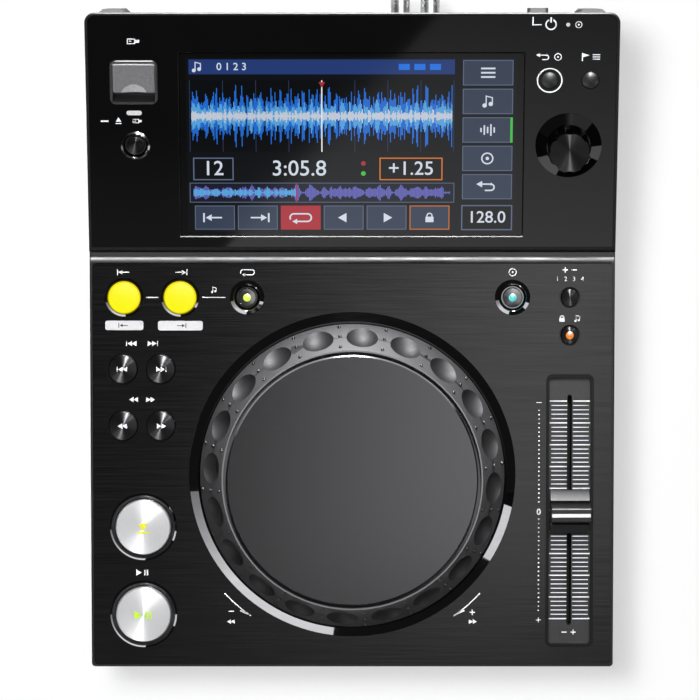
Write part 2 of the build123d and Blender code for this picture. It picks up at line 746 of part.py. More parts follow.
node("light_windows", pill_spot * pill, standby_spot * disc(STANDBY_R - LIGHT_GAP, -FASCIA_T, LIGHT_GAP))

# Display stack
glass_foot = -GLASS_SINK - GLASS_T
lcd_foot = glass_foot - LCD_T
glass_w = WINDOW_W - 2 * GLASS_GAP
glass_l = WINDOW_L - 2 * GLASS_GAP
node("display_glass", window * slab(glass_w, glass_l, 1, glass_foot, -GLASS_SINK))
node("lcd_module", window * slab(lcd_w, lcd_l, 1, lcd_foot, glass_foot))
bracket_w = lcd_w + 2 * BRACKET_MARGIN
bracket_l = lcd_l - 2 * BRACKET_END
bracket = slab(bracket_w, bracket_l, BOARD_CORNER, lcd_foot - BRACKET_T, -CONSOLE_SEAT)
bracket = bracket - slab(bracket_w - 2 * BRACKET_LEG, lcd_l, BOARD_CORNER, lcd_foot, 0)
bracket = bracket - slab(bracket_w / 2, bracket_l / 2, BOARD_CORNER, lcd_foot - BRACKET_T, lcd_foot)
node("display_bracket", window * bracket)

# Boards
board_top = DECK_Z - BOARD_DROP
board_foot = board_top - BOARD_T
left_edge = -BOARD_X
deck_board = block(left_edge, left_edge + BOARD_LEFT_W, PLAY_Y - BOARD_END, BOARD_BACK_Y, board_foot, board_top)
deck_board += block(left_edge, BOARD_X, BOARD_BACK_Y - BOARD_STRIP, BOARD_BACK_Y, board_foot, board_top)
deck_board += block(BOARD_X - BOARD_RIGHT_W, BOARD_X, MASTER_Y - BOARD_EDGE, BOARD_BACK_Y, board_foot, board_top)
mount_x, mount_y = mount_spots[0]
deck_board -= Pos(mount_x, mount_y, 0) * disc(MOUNT_BOSS_R + 1, board_foot, board_top)
small_foot = -BOARD_DROP - BOARD_T
stop_board = slab(STOP_BOARD_W, STOP_BOARD_L, BOARD_CORNER, small_foot, -BOARD_DROP)
right_w = TAG_PITCH + 2 * BOARD_EDGE
right_l = SELECT_PITCH + 3 * BOARD_EDGE
right_board = slab(right_w, right_l, BOARD_CORNER, small_foot, -BOARD_DROP)
right_board = on_console((BACK_X + TAG_X) / 2, right_mid) * right_board
node("key_boards", deck_board, on_console(STOP_X, STOP_Y) * stop_board, right_board)
node("main_board", block(-main_half, main_half, main_front, main_rear, MAIN_Z, MAIN_TOP))

power_plane = Plane(origin=(POWER_X, BODY_REAR, MAIN_TOP + POWER_AXIS), x_dir=(-1, 0, 0), z_dir=(0, 1, 0))
power_spot = power_plane.location
power_flange_top = -WALL - FLANGE_PLAY
power_stem_foot = power_flange_top - FLANGE_T - POWER_STEM
plunger_tip = power_stem_foot - POWER_TRAVEL - STOP_GAP
power_switch = disc(PLUNGER_R, plunger_tip - PLUNGER_H, plunger_tip)
power_body = Box(POWER_SWITCH_W, 2 * POWER_AXIS, POWER_SWITCH_L)
power_switch = power_switch + Pos(0, 0, plunger_tip - PLUNGER_H - POWER_SWITCH_L / 2) * power_body
switches = [on_deck(k["x"], k["y"]) * tact_switch() for k in deck_keys.values()]
switches += [on_console(k["x"], k["y"]) * tact_switch() for k in console_keys.values()]
node("tact_switches", *switches, power_spot * power_switch)

# Keys, lenses and rings
for name, key in deck_keys.items():
    node(name + "_key", on_deck(key["x"], key["y"]) * key_solid(key, DECK_SEAT))
    if key["lens"]:
        node(name + "_lens", on_deck(key["x"], key["y"]) * lens_solid(key))
for name, key in console_keys.items():
    node(name + "_key", on_console(key["x"], key["y"]) * key_solid(key, CONSOLE_SEAT))
rings = [on_deck(k["x"], k["y"]) * ring_solid(k, PANEL_T) for k in deck_keys.values() if k["ring"]]
rings += [on_console(k["x"], k["y"]) * ring_solid(k, FASCIA_T) for k in console_keys.values() if k["ring"]]
select_inner = KNOB_R + BEZEL_GAP
select_ring = turned(
    [
        (select_inner, 0),
        (SELECT_RING_R, 0),
        (SELECT_RING_R, SELECT_RING_EDGE),
        (select_inner + SELECT_RING_LIP, SELECT_RING_RISE),
        (select_inner, SELECT_RING_RISE - SELECT_RING_LIP),
    ]
)
select_spot = on_console(SELECT_X, SELECT_Y)
node("key_rings", *rings, select_spot * select_ring)

# Rotary selector
neck_foot = ENCODER_H - BOARD_DROP
encoder = Pos(0, 0, neck_foot - ENCODER_H / 2) * Box(ENCODER_W, ENCODER_W, ENCODER_H)
encoder = encoder + disc(ENCODER_NECK_R, neck_foot, -FASCIA_T / 2)
shaft_foot = neck_foot - ENCODER_H / 2
encoder = encoder - disc(SHAFT_R + RUN_FIT, shaft_foot - SELECT_TRAVEL - STOP_GAP, 0)
node("encoder_body", select_spot * encoder)
node("selector_shaft", select_spot * disc(SHAFT_R, shaft_foot, SHAFT_TOP))
knob = turned(
    [
        (SHAFT_R + RUN_FIT, KNOB_FOOT),
        (KNOB_R, KNOB_FOOT),
        (KNOB_R, KNOB_TOP - KNOB_EASE),
        (KNOB_R - KNOB_EASE, KNOB_TOP),
        (0, KNOB_TOP),
        (0, SHAFT_TOP + STOP_GAP),
        (SHAFT_R + RUN_FIT, SHAFT_TOP + STOP_GAP),
    ]
)
flute = Pos(KNOB_R + FLUTE_R - FLUTE_DEPTH, 0, 0) * disc(FLUTE_R, KNOB_FOOT - 1, KNOB_TOP + 1)
knob = knob - [Rot(0, 0, 360 * i / KNOB_FLUTES) * flute for i in range(KNOB_FLUTES)]
node("selector_knob", select_spot * knob)

# USB port: bezel with a pocket, socket in its floor, hinged cover
pocket_w = USB_W - 2 * USB_WALL
pocket_l = USB_L - 2 * USB_WALL
usb_floor_top = -USB_DEPTH
bezel = slab(USB_W, USB_L, USB_CORNER, usb_floor_top - USB_FLOOR, USB_RISE - USB_EASE)
bezel_ease = extrude(RectangleRounded(USB_W, USB_L, USB_CORNER), USB_EASE, taper=45)
bezel = bezel + Pos(0, 0, USB_RISE - USB_EASE) * bezel_ease
usb_flange_l = USB_L + 2 * USB_FLANGE_W
flange = slab(USB_W + 2 * USB_FLANGE_W, usb_flange_l, USB_CORNER, -CONSOLE_SEAT - USB_FLANGE_T, -CONSOLE_SEAT)
bezel = bezel + flange
bezel = bezel - slab(pocket_w, pocket_l, POCKET_CORNER, usb_floor_top, 1)
bezel = bezel - slab(PLUG_W + 2 * SEAM, PLUG_L + 2 * SEAM, PLUG_CORNER, usb_floor_top - USB_FLOOR, usb_floor_top)
cover_rear = pocket_l / 2 - COVER_GAP
hinge_v = cover_rear - BARREL_R
hinge_up = COVER_T / 2 - BARREL_R - 0.6
pin_side = COVER_W / 2 + PIN_L
hinge_spot = Pos(0, hinge_v, hinge_up) * Rot(0, 90, 0)
bezel = bezel - hinge_spot * Cylinder(PIN_R + RUN_FIT, 2 * (pin_side + SEAM))
node("usb_bezel", usb_spot * bezel)
cover_front = cover_rear - COVER_L
cover_up = hinge_up - BARREL_R
cover = block(-COVER_W / 2, COVER_W / 2, cover_front, hinge_v, cover_up, cover_up + COVER_T)
cover = cover + hinge_spot * Cylinder(BARREL_R, COVER_W)
cover_plan = slab(COVER_W, 2 * COVER_L, COVER_CORNER, cover_up - COVER_T, cover_up + 2 * COVER_T)
cover = cover & Pos(0, cover_rear - COVER_L, 0) * cover_plan
cover = cover + hinge_spot * Cylinder(PIN_R, 2 * pin_side)
thumb_ball = (THUMB_R**2 + THUMB_DEPTH**2) / (2 * THUMB_DEPTH)
thumb = Pos(0, cover_front - THUMB_OUT, cover_up + COVER_T + thumb_ball - THUMB_DEPTH) * Sphere(thumb_ball)
node("usb_cover", usb_spot * (cover - thumb))
socket_foot = usb_floor_top - PLUG_DEPTH
usb_socket = slab(PLUG_W, PLUG_L, PLUG_CORNER, socket_foot, usb_floor_top)
collar_top = usb_floor_top - USB_FLOOR
collar = slab(PLUG_W + 2 * COLLAR_W, PLUG_L + 2 * COLLAR_W, PLUG_CORNER, collar_top - COLLAR_T, collar_top)
mouth_foot = usb_floor_top - PLUG_MOUTH
mouth_corner = PLUG_CORNER - PLUG_WALL / 2
mouth = slab(PLUG_W - 2 * PLUG_WALL, PLUG_L - 2 * PLUG_WALL, mouth_corner, mouth_foot, usb_floor_top)
tongue = Pos(0, TONGUE_T / 2, mouth_foot + TONGUE_L / 2) * Box(PLUG_W - 2 * TONGUE_SIDE, TONGUE_T, TONGUE_L)
usb_socket = usb_socket + collar
node("usb_socket", usb_spot * (usb_socket - (mouth - tongue)))

# Jog wheel: heights, ring profile and finger dimples
platter_top = PLATTER_RISE
platter_foot = platter_top - PLATTER_T
hub_foot = platter_foot - HUB_T
flange_foot = hub_foot - RING_FLANGE_T
ring_inner = PLATTER_R + GROOVE_W
cone_r = ring_inner + RING_EDGE
cone_top = platter_top - RING_TOP_DROP
cone_run = RING_R - cone_r
cone_rise = cone_top - RING_SKIRT
cone_len = math.hypot(cone_run, cone_rise)
out_r = cone_rise / cone_len
out_z = cone_run / cone_len
wall_r = RING_R - RING_WALL * out_r
wall_z = RING_SKIRT - RING_WALL * out_z
inside_z = flange_foot
inside_r = wall_r - (inside_z - wall_z) * cone_run / cone_rise
ring = turned(
    [
        (RING_R, -RING_FOOT_DROP),
        (RING_R, RING_SKIRT),
        (cone_r, cone_top),
        (ring_inner, cone_top),
        (ring_inner, hub_foot),
        (ring_inner - RING_FLANGE_W, hub_foot),
        (ring_inner - RING_FLANGE_W, flange_foot),
        (inside_r, flange_foot),
        (wall_r, wall_z),
        (wall_r, -RING_FOOT_DROP),
    ]
)
ball_lift = math.sqrt(DIMPLE_BALL**2 - DIMPLE_R**2)
ball_r = (RING_R + cone_r) / 2 + ball_lift * out_r
ball_z = (RING_SKIRT + cone_top) / 2 + ball_lift * out_z
dimple = Pos(ball_r, 0, ball_z) * Sphere(DIMPLE_BALL)
dimples = [Rot(0, 0, DIMPLE_START - 360 * i / DIMPLES) * dimple for i in range(DIMPLES)]
jog = on_deck(0, JOG_Y)
node("jog_ring", jog * (ring - dimples))
platter = turned(
    [
        (0, platter_foot),
        (PLATTER_R, platter_foot),
        (PLATTER_R, platter_top - PLATTER_EDGE),
        (PLATTER_R - PLATTER_EDGE, platter_top),
        (0, platter_top),
    ]
)
node("jog_platter", jog * platter)

# Jog hub on its bush and spindle
bush_r = SPINDLE_R + RUN_FIT
bush_outer = SPINDLE_R + BUSH_WALL
sleeve_r = bush_outer + SLEEVE_WALL
shoulder_top = -MOUNT_DROP + SHOULDER_H
bush_foot = shoulder_top + THRUST_GAP
bush_top = bush_foot + BUSH_L
clip_foot = bush_top + THRUST_GAP
clip_r = SPINDLE_R + CLIP_W
hub = disc(PLATTER_R - HUB_MARGIN, hub_foot, platter_foot) + disc(sleeve_r, bush_foot, hub_foot)
rib_face = Plane.XZ * make_face(
    Polyline((sleeve_r - 1, hub_foot), (HUB_RIB_R, hub_foot), (sleeve_r - 1, hub_foot - HUB_RIB_H), close=True)
)
rib = extrude(rib_face, HUB_RIB_T / 2, both=True)
hub = hub + [Rot(0, 0, 360 * i / HUB_RIBS) * rib for i in range(HUB_RIBS)]
hub = hub - disc(bush_outer, bush_foot, bush_top) - disc(clip_r + CLIP_ROOM, bush_top, platter_foot)
node("jog_hub", jog * hub)
node("jog_bush", jog * tube(bush_outer, bush_r, bush_foot, bush_top))
disc_foot = bush_foot + DISC_LIFT
encoder_disc = tube(DISC_R, sleeve_r, disc_foot, disc_foot + DISC_T)
slit = Pos(DISC_R - 3, 0, 0) * slab(3, 2, 0.5, disc_foot, disc_foot + DISC_T)
encoder_disc = encoder_disc - [Rot(0, 0, 360 * i / DISC_SLOTS) * slit for i in range(DISC_SLOTS)]
node("encoder_disc", jog * encoder_disc)

spindle = disc(SPINDLE_R, -MOUNT_DROP, clip_foot + CLIP_T + 1)
spindle = spindle + disc(SHOULDER_R, -MOUNT_DROP, shoulder_top)
spindle = spindle + disc(SPINDLE_FOOT_R, -MOUNT_DROP, -MOUNT_DROP + SPINDLE_FOOT_H)
clip = tube(clip_r, SPINDLE_R, clip_foot, clip_foot + CLIP_T)
node("jog_spindle", jog * spindle, jog * clip)
plate = Circle(MOUNT_R) + [
    Rot(0, 0, a) * Pos(MOUNT_REACH / 2, 0) * SlotCenterToCenter(MOUNT_REACH, MOUNT_ARM_W) for a in (90, 210, 330)
]
mount_plate = Pos(0, 0, -MOUNT_DROP - MOUNT_T) * extrude(plate, MOUNT_T)
node("jog_mount_plate", jog * mount_plate)
sensor_top = disc_foot + DISC_T + SENSOR_GAP + SENSOR_CAP
sensor_mid = DISC_R + SENSOR_GAP
sensor = block(-SENSOR_W / 2, SENSOR_W / 2, 0, SENSOR_L, -MOUNT_DROP, sensor_top)
fork_top = disc_foot + DISC_T + SENSOR_GAP
fork = block(-SENSOR_W / 2, SENSOR_W / 2, 0, SENSOR_L / 2, disc_foot - SENSOR_GAP, fork_top)
sensor = Pos(0, sensor_mid - SENSOR_L / 2, 0) * (sensor - fork)
node("jog_sensor", jog * sensor)

# Fixed jog bezel: a cone that falls from its crest to the deck
bezel_skirt = -PANEL_T - BEZEL_SKIRT
jog_bezel = turned(
    [
        (bezel_inner, bezel_skirt),
        (bezel_inner, BEZEL_RISE - BEZEL_EASE),
        (bezel_inner + BEZEL_LAND, BEZEL_RISE),
        (BEZEL_R, BEZEL_LOW),
        (BEZEL_R, -PANEL_T),
        (shelf_jog_r - SEAM, -PANEL_T),
        (shelf_jog_r - SEAM, bezel_skirt),
    ]
)
node("jog_bezel", jog * jog_bezel)

# Pitch fader: tray, slide potentiometer, lever and cap
fader = on_deck(FADER_X, FADER_Y)
tray_floor = -TRAY_DEPTH
tray_under = tray_floor - TRAY_FLOOR
fader_tray = slab(TRAY_W, TRAY_L, TRAY_CORNER, -PANEL_T, TRAY_RISE)
fader_tray = fader_tray + slab(tray_body_w, tray_body_l, TRAY_CORNER, tray_under, -PANEL_T)
tray_in_w = TRAY_W - 2 * TRAY_WALL
tray_in_l = TRAY_L - 2 * TRAY_WALL
fader_tray = fader_tray - slab(tray_in_w, tray_in_l, TRAY_CORNER - TRAY_WALL, tray_floor, 1)
fader_tray = fader_tray - slab(SLOT_W, SLOT_L, SLOT_W / 2 - 0.05, tray_under, tray_floor)
node("fader_tray", fader * fader_tray)
pot_foot = tray_under - POT_H
pot = slab(POT_W, POT_L, 1, pot_foot, tray_under)
room_w = CARRIAGE_W + 2 * POT_PLAY
room_l = SLOT_L + CARRIAGE_L
room_top = tray_under - POT_WALL
pot = pot - slab(room_w, room_l, 0.5, pot_foot + POT_WALL, room_top)
pot = pot - slab(SLOT_W, SLOT_L, SLOT_W / 2 - 0.05, room_top, tray_under)
node("fader_pot", fader * pot)
carriage_foot = pot_foot + POT_WALL + POT_PLAY
lever = slab(CARRIAGE_W, CARRIAGE_L, 0.5, carriage_foot, carriage_foot + CARRIAGE_H)
lever_top = CAP_RIDGE - LEVER_SINK
lever = lever + block(-LEVER_T / 2, LEVER_T / 2, -LEVER_L / 2, LEVER_L / 2, carriage_foot + 1, lever_top)
node("fader_lever", fader * lever)
cap_half = CAP_L / 2
ridge_foot = RIDGE_W / 2 + RIDGE_FLARE
cap = across(
    [
        (cap_half, -CAP_FOOT_DROP),
        (cap_half, CAP_SHOULDER),
        (cap_half - CREST_IN, CAP_CREST),
        (ridge_foot, CAP_DIP),
        (RIDGE_W / 2, CAP_RIDGE),
        (-RIDGE_W / 2, CAP_RIDGE),
        (-ridge_foot, CAP_DIP),
        (CREST_IN - cap_half, CAP_CREST),
        (-cap_half, CAP_SHOULDER),
        (-cap_half, -CAP_FOOT_DROP),
    ],
    CAP_W / 2,
)
crest_edges = cap.edges().filter_by(Axis.X).group_by(Axis.Z)[-1]
cap = fillet(crest_edges, RIDGE_EASE)
cap = cap - block(-LEVER_T / 2, LEVER_T / 2, -LEVER_L / 2, LEVER_L / 2, -CAP_FOOT_DROP, lever_top)
node("fader_cap", fader * cap)

# Rear panel: plate with corner buttresses and socket cut-outs
panel_top = slope_z(BODY_REAR - WALL, CONSOLE_SEAT) - SEAM
rear = block(-INNER + SEAM, INNER - SEAM, BODY_REAR - WALL, BODY_REAR, PART_Z, panel_top)
rib = block(-RIB_W / 2, RIB_W / 2, BODY_REAR, BODY_REAR + RIB_OUT, RIB_LOW, RIB_HIGH)
rib = chamfer(rib.faces().sort_by(Axis.Y)[-1].edges(), 1.5)
rear = rear + [Pos(side * RIB_X, 0, 0) * rib for side in (-1, 1)]
jack_z = MAIN_TOP + JACK_AXIS
gap = SOCKET_GAP


def rear_slot(x, width, height):
    half = width / 2 + gap
    return block(x - half, x + half, BODY_REAR - WALL, BODY_REAR, MAIN_TOP - gap, MAIN_TOP + height + gap)


def rearward(x, z, radius, y0, y1):
    """Round bar along the depth."""
    return Pos(x, (y0 + y1) / 2, z) * Rot(90, 0, 0) * Cylinder(radius, y1 - y0)


jack_xs = (JACK_X - JACK_PITCH / 2, JACK_X + JACK_PITCH / 2)
rear = rear - [rear_slot(LAN_X, LAN_W, LAN_H), rear_slot(USBB_X, USBB_W, USBB_H), rear_slot(DC_X, DC_W, DC_H)]
rear = rear - [rearward(x, jack_z, JACK_R + gap, BODY_REAR - WALL, BODY_REAR) for x in jack_xs]
rear = rear - power_spot * slab(POWER_W + 2 * KEY_GAP, POWER_H + 2 * KEY_GAP, POWER_CORNER + KEY_GAP, -WALL, 0)
node("rear_panel", rear)

jack_front = BODY_REAR - WALL - JACK_BLOCK_L
half_block = JACK_BLOCK_W / 2
jacks = block(JACK_X - half_block, JACK_X + half_block, jack_front, BODY_REAR - WALL, MAIN_TOP, jack_z + JACK_AXIS)
for x in jack_xs:
    jacks += rearward(x, jack_z, JACK_R, BODY_REAR - WALL, JACK_TIP)
    jacks += rearward(x, jack_z, JACK_COLLAR_R, BODY_REAR, BODY_REAR + JACK_COLLAR_T)
    well = rearward(x, jack_z, JACK_R - JACK_SHELL, BODY_REAR + JACK_COLLAR_T, JACK_TIP)
    jacks -= well - rearward(x, jack_z, JACK_CORE_R, BODY_REAR, JACK_TIP)
    jacks -= rearward(x, jack_z, JACK_BORE_R, BODY_REAR, JACK_TIP)
node("rca_jacks", jacks)

socket_face = BODY_REAR + SOCKET_PROUD


def socket_block(x, width, length, height):
    return block(x - width / 2, x + width / 2, socket_face - length, socket_face, MAIN_TOP, MAIN_TOP + height)


def socket_port(x, width, length, height, z):
    half = width / 2
    return block(x - half, x + half, socket_face - length, socket_face, z - height / 2, z + height / 2)


lan_z = MAIN_TOP + LAN_H / 2
lan = socket_block(LAN_X, LAN_W, LAN_L, LAN_H) - socket_port(LAN_X, LAN_PORT_W, LAN_PORT_L, LAN_PORT_H, lan_z)
node("lan_jack", lan)
usbb_z = MAIN_TOP + USBB_H / 2
usbb_port = socket_port(USBB_X, USBB_PORT_W, USBB_PORT_L, USBB_PORT_H, usbb_z)
usbb_port = usbb_port - socket_port(USBB_X, USBB_TONGUE_W, USBB_PORT_L + 1, USBB_TONGUE_H, usbb_z)
node("usb_b_socket", socket_block(USBB_X, USBB_W, USBB_L, USBB_H) - usbb_port)
dc_z = MAIN_TOP + DC_H / 2
dc_port = rearward(DC_X, dc_z, DC_BORE_R, socket_face - DC_PORT_L, socket_face)
dc_port = dc_port - rearward(DC_X, dc_z, DC_PIN_R, socket_face - DC_PORT_L, socket_face - 1)
node("dc_inlet", socket_block(DC_X, DC_W, DC_L, DC_H) - dc_port)

# Power key through the rear panel
power_key = slab(POWER_W, POWER_H, POWER_CORNER, power_flange_top, POWER_REACH)
power_key = power_key + slab(
    POWER_W + 2 * FLANGE_W,
    POWER_H + 2 * FLANGE_W,
    POWER_CORNER,
    power_flange_top - FLANGE_T,
    power_flange_top,
)
power_key = power_key + disc(STEM_R, power_stem_foot, power_flange_top)
node("power_key", power_spot * power_key)
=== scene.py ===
import json
import math
import bpy
from mathutils import Matrix, Vector


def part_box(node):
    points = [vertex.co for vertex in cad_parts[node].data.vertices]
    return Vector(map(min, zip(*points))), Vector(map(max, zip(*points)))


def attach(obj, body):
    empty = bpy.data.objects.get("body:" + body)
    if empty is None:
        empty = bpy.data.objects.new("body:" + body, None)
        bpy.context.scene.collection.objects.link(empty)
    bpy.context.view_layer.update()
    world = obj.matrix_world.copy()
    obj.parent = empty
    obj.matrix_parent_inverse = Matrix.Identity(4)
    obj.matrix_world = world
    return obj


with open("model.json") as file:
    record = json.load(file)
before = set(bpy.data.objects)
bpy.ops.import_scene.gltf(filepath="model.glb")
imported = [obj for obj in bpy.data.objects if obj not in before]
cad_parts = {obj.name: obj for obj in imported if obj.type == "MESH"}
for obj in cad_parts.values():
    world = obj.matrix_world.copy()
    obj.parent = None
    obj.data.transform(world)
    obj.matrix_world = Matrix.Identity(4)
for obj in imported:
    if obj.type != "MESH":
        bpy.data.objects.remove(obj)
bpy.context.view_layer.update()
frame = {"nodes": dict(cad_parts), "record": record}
nodes = frame["nodes"]

# Sizes and places of the player in millimetres
MM = 0.001
DECK_Z = 76.0
STEP_Y = 36.5
STEP_Z = 78.0
TILT = math.radians(14.0)
JOG_Y = -59.5
DIMPLES = 20
DIMPLE_START = 86.0
CONE_FOOT = (64.6, 79.5)
CONE_TOP = (55.0, 96.4)
PIP_ROWS = (0.1, 0.45, 0.86)
PIP_R = 0.8
FADER = (92.5, -75.0)
FACET_Y = (-72.0, -66.0)
RIDGE_Z = 91.5
TRAY_FLOOR = 73.0
TRAY_LIP = 1.0
WINDOW = (-0.35, 46.06)
GLASS = -0.2
PAIR_X = -89.3
PAIR_PITCH = 16.0
TRACK_Y = -14.2
SEARCH_Y = -38.4
CUE = (-89.0, -81.8)
PLAY = (-89.0, -119.3)
STOP = (-90.9, 81.1)
BACK = (82.3, 108.5)
SELECT = (90.6, 81.2)
POSTS = [(x, y) for x in (-106.3, 106.3) for y in (-134.0, -59.5, 122.0)]
SCREW_Z = 4.0
SCREW_R = 2.6
SCREW_H = 0.8

# Sizes, rows and columns of the printing in millimetres, seen in plan
INK = 0.03
LINE = 0.42
LEGEND_H = 2.6
MARK_H = 2.4
SMALL_H = 2.2
LOOP_ROW = 16.2
LOOP_LEGENDS = 26.9
TEMPO_LEGENDS = 27.9
TEMPO_STEPS = (92.2, 24.0)
MASTER_LEGENDS = 7.2
TRACK_LEGENDS = -3.4
SEARCH_LEGENDS = -27.3
IN_PILL = (-96.7, 4.3)
OUT_PILL = (-72.9, 4.2)
SWEEP_R = 74.5
SWEEP_ANGLES = (35.5, 47.0)
SWEEP_WEDGE = 1.2
SWEEP_X = (-51.6, 51.2)
TRAY_LEGENDS = -127.6
FADER_LINE = (16.3, 1.5)
STOP_LEGENDS = 91.4
BACK_LEGENDS = 118.3
POWER_LEGENDS = 131.7
BACK_CIRCLE = (5.1, 0.6)

# Scale of the fader in millimetres
TICKS = 51
TICK_PITCH = 1.87
TICK = (6.7, 0.34)
LONG_EVERY = 5
LONG_TICK = (7.4, 0.5)
SCALE_X = 79.4
ZERO_Y = -75.5
DOTS = 22
DOT = (0.55, 0.55)

ALONG_X = (1, 0, 0)
ALONG_Y = (0, 1, 0)
NOISE_LOW = 0.3
NOISE_HIGH = 0.7

deck = Matrix.Translation((0, 0, DECK_Z))
tray = Matrix.Translation((0, 0, TRAY_FLOOR))
console = Matrix.Translation((0, STEP_Y, STEP_Z)) @ Matrix.Rotation(TILT, 4, "X")
console_up = console.to_3x3() @ Vector((0, 0, 1))


def slope(y):
    """Distance up the console for a place given in plan."""
    return (y - STEP_Y) / math.cos(TILT)


def on_cone(share):
    """Radius and height at a share of the way up the cone of the jog ring."""
    return [foot + share * (top - foot) for foot, top in zip(CONE_FOOT, CONE_TOP)]


def rgb(red, green, blue):
    """Linear colour of a screen colour from 0 to 255."""
    shares = (red / 255, green / 255, blue / 255)
    return tuple(c / 12.92 if c <= 0.04045 else ((c + 0.055) / 1.055) ** 2.4 for c in shares)


def grey(level):
    return (level, level, level * 1.04)


# Parts of a finish
def shader_of(mat):
    return mat.node_tree.nodes["Principled BSDF"]


def add(mat, kind, **values):
    made = mat.node_tree.nodes.new(kind)
    for label, value in values.items():
        setattr(made, label, value)
    return made


def link(mat, start, end):
    mat.node_tree.links.new(start, end)


def finish(name, colour, rough, metal=0.0, **extra):
    mat = bpy.data.materials.new(name)
    mat.use_nodes = True
    shader = shader_of(mat)
    shader.inputs["Base Color"].default_value = (*colour, 1)
    shader.inputs["Roughness"].default_value = rough
    shader.inputs["Metallic"].default_value = metal
    for label, value in extra.items():
        shader.inputs[label.replace("_", " ")].default_value = value
    return mat


def grain(mat, size, stretch=(1, 1, 1), detail=3.0):
    """Noise of a given size in millimetres, in the object's own space."""
    place = add(mat, "ShaderNodeTexCoord")
    scale = add(mat, "ShaderNodeMapping")
    scale.inputs["Scale"].default_value = [1 / (size * MM * s) for s in stretch]
    noise = add(mat, "ShaderNodeTexNoise")
    noise.inputs["Scale"].default_value = 1.0
    noise.inputs["Detail"].default_value = detail
    link(mat, place.outputs["Object"], scale.inputs["Vector"])
    link(mat, scale.outputs["Vector"], noise.inputs["Vector"])
    return noise.outputs["Fac"]


def span_of(mat, source, start, end, low=0.0, high=1.0):
    """Value that runs from low to high while its source runs from start to end."""
    span = add(mat, "ShaderNodeMapRange")
    span.inputs["From Min"].default_value = start
    span.inputs["From Max"].default_value = end
    span.inputs["To Min"].default_value = low
    span.inputs["To Max"].default_value = high
    link(mat, source, span.inputs["Value"])
    return span.outputs["Result"]


def vary(mat, source, label, low, high):
    """Lets a pattern run a shader value from low to high."""
    link(mat, span_of(mat, source, NOISE_LOW, NOISE_HIGH, low, high), shader_of(mat).inputs[label])


def tint(mat, source, dark, light, label="Base Color", low=NOISE_LOW, high=NOISE_HIGH):
    """Lets a pattern run a colour from dark to light."""
    ramp = add(mat, "ShaderNodeValToRGB")
    ramp.color_ramp.elements[0].color = (*dark, 1)
    ramp.color_ramp.elements[0].position = low
    ramp.color_ramp.elements[1].color = (*light, 1)
    ramp.color_ramp.elements[1].position = high
    link(mat, source, ramp.inputs["Fac"])
    link(mat, ramp.outputs["Color"], shader_of(mat).inputs[label])


def relief(mat, source, depth, strength=1.0):
    """Lets a pattern raise the surface by a depth in millimetres."""
    bump = add(mat, "ShaderNodeBump")
    bump.inputs["Distance"].default_value = depth * MM
    bump.inputs["Strength"].default_value = strength
    link(mat, source, bump.inputs["Height"])
    link(mat, bump.outputs["Normal"], shader_of(mat).inputs["Normal"])


def brushed(mat, axis):
    """Turns the brush marks round an axis."""
    marks = add(mat, "ShaderNodeTangent", direction_type="RADIAL", axis=axis)
    link(mat, marks.outputs["Tangent"], shader_of(mat).inputs["Tangent"])


def run_along(mat, way, start, end, low, high):
    """Value that runs from low to high between two places along a direction."""
    place = add(mat, "ShaderNodeTexCoord")
    along = add(mat, "ShaderNodeVectorMath", operation="DOT_PRODUCT")
    along.inputs[1].default_value = way
    link(mat, place.outputs["Object"], along.inputs[0])
    return span_of(mat, along.outputs["Value"], start, end, low, high)


def round_jog(mat, scale=(1, 1, 1)):
    """Place measured from the middle of the jog wheel."""
    place = add(mat, "ShaderNodeTexCoord")
    shift = add(mat, "ShaderNodeMapping")
    shift.inputs["Location"].default_value = (0, -JOG_Y * MM, 0)
    shift.inputs["Scale"].default_value = scale
    link(mat, place.outputs["Object"], shift.inputs["Vector"])
    return shift.outputs["Vector"]


def from_jog(mat, start, end):
    """Value from 0 to 1 between two distances in millimetres from the middle of the jog wheel."""
    far = add(mat, "ShaderNodeVectorMath", operation="LENGTH")
    link(mat, round_jog(mat, (1, 1, 0)), far.inputs[0])
    return span_of(mat, far.outputs["Value"], start * MM, end * MM)


# Kinds of finish
def moulded(name, level, rough, size=0.7, depth=0.006, shine=0.5):
    """Moulded plastic or rubber with a fine grain."""
    mat = finish(name, grey(level), rough, Specular_IOR_Level=shine)
    fine = grain(mat, size)
    tint(mat, fine, grey(level * 0.85), grey(level * 1.2))
    vary(mat, fine, "Roughness", rough - 0.05, rough + 0.06)
    relief(mat, fine, depth)
    return mat


def glossy(name, level, rough, shine=0.5):
    """Polished plastic or glass with faint smears."""
    mat = finish(name, grey(level), rough, Specular_IOR_Level=shine)
    smear = grain(mat, 24, (1, 2, 1), 4.0)
    tint(mat, smear, grey(level * 0.8), grey(level * 1.2))
    vary(mat, smear, "Roughness", rough * 0.7, rough * 1.4)
    return mat


def spun(name, colour, rough, metal=1.0):
    """Metal turned on a lathe: fine circles round the middle of the cap."""
    mat = finish(name, colour, rough, metal, Anisotropic=0.95, Anisotropic_Rotation=0.25)
    brushed(mat, "Z")
    fine = grain(mat, 0.5)
    tint(mat, fine, [c * 0.95 for c in colour], [min(1, c * 1.04) for c in colour])
    vary(mat, fine, "Roughness", rough * 0.96, rough * 1.04)
    return mat


def plated(name, colour, rough):
    """Plated or rolled metal with a faint variation."""
    mat = finish(name, colour, rough, 1.0)
    fine = grain(mat, 3, (4, 1, 1))
    tint(mat, fine, [c * 0.9 for c in colour], colour)
    vary(mat, fine, "Roughness", rough * 0.8, rough * 1.25)
    return mat


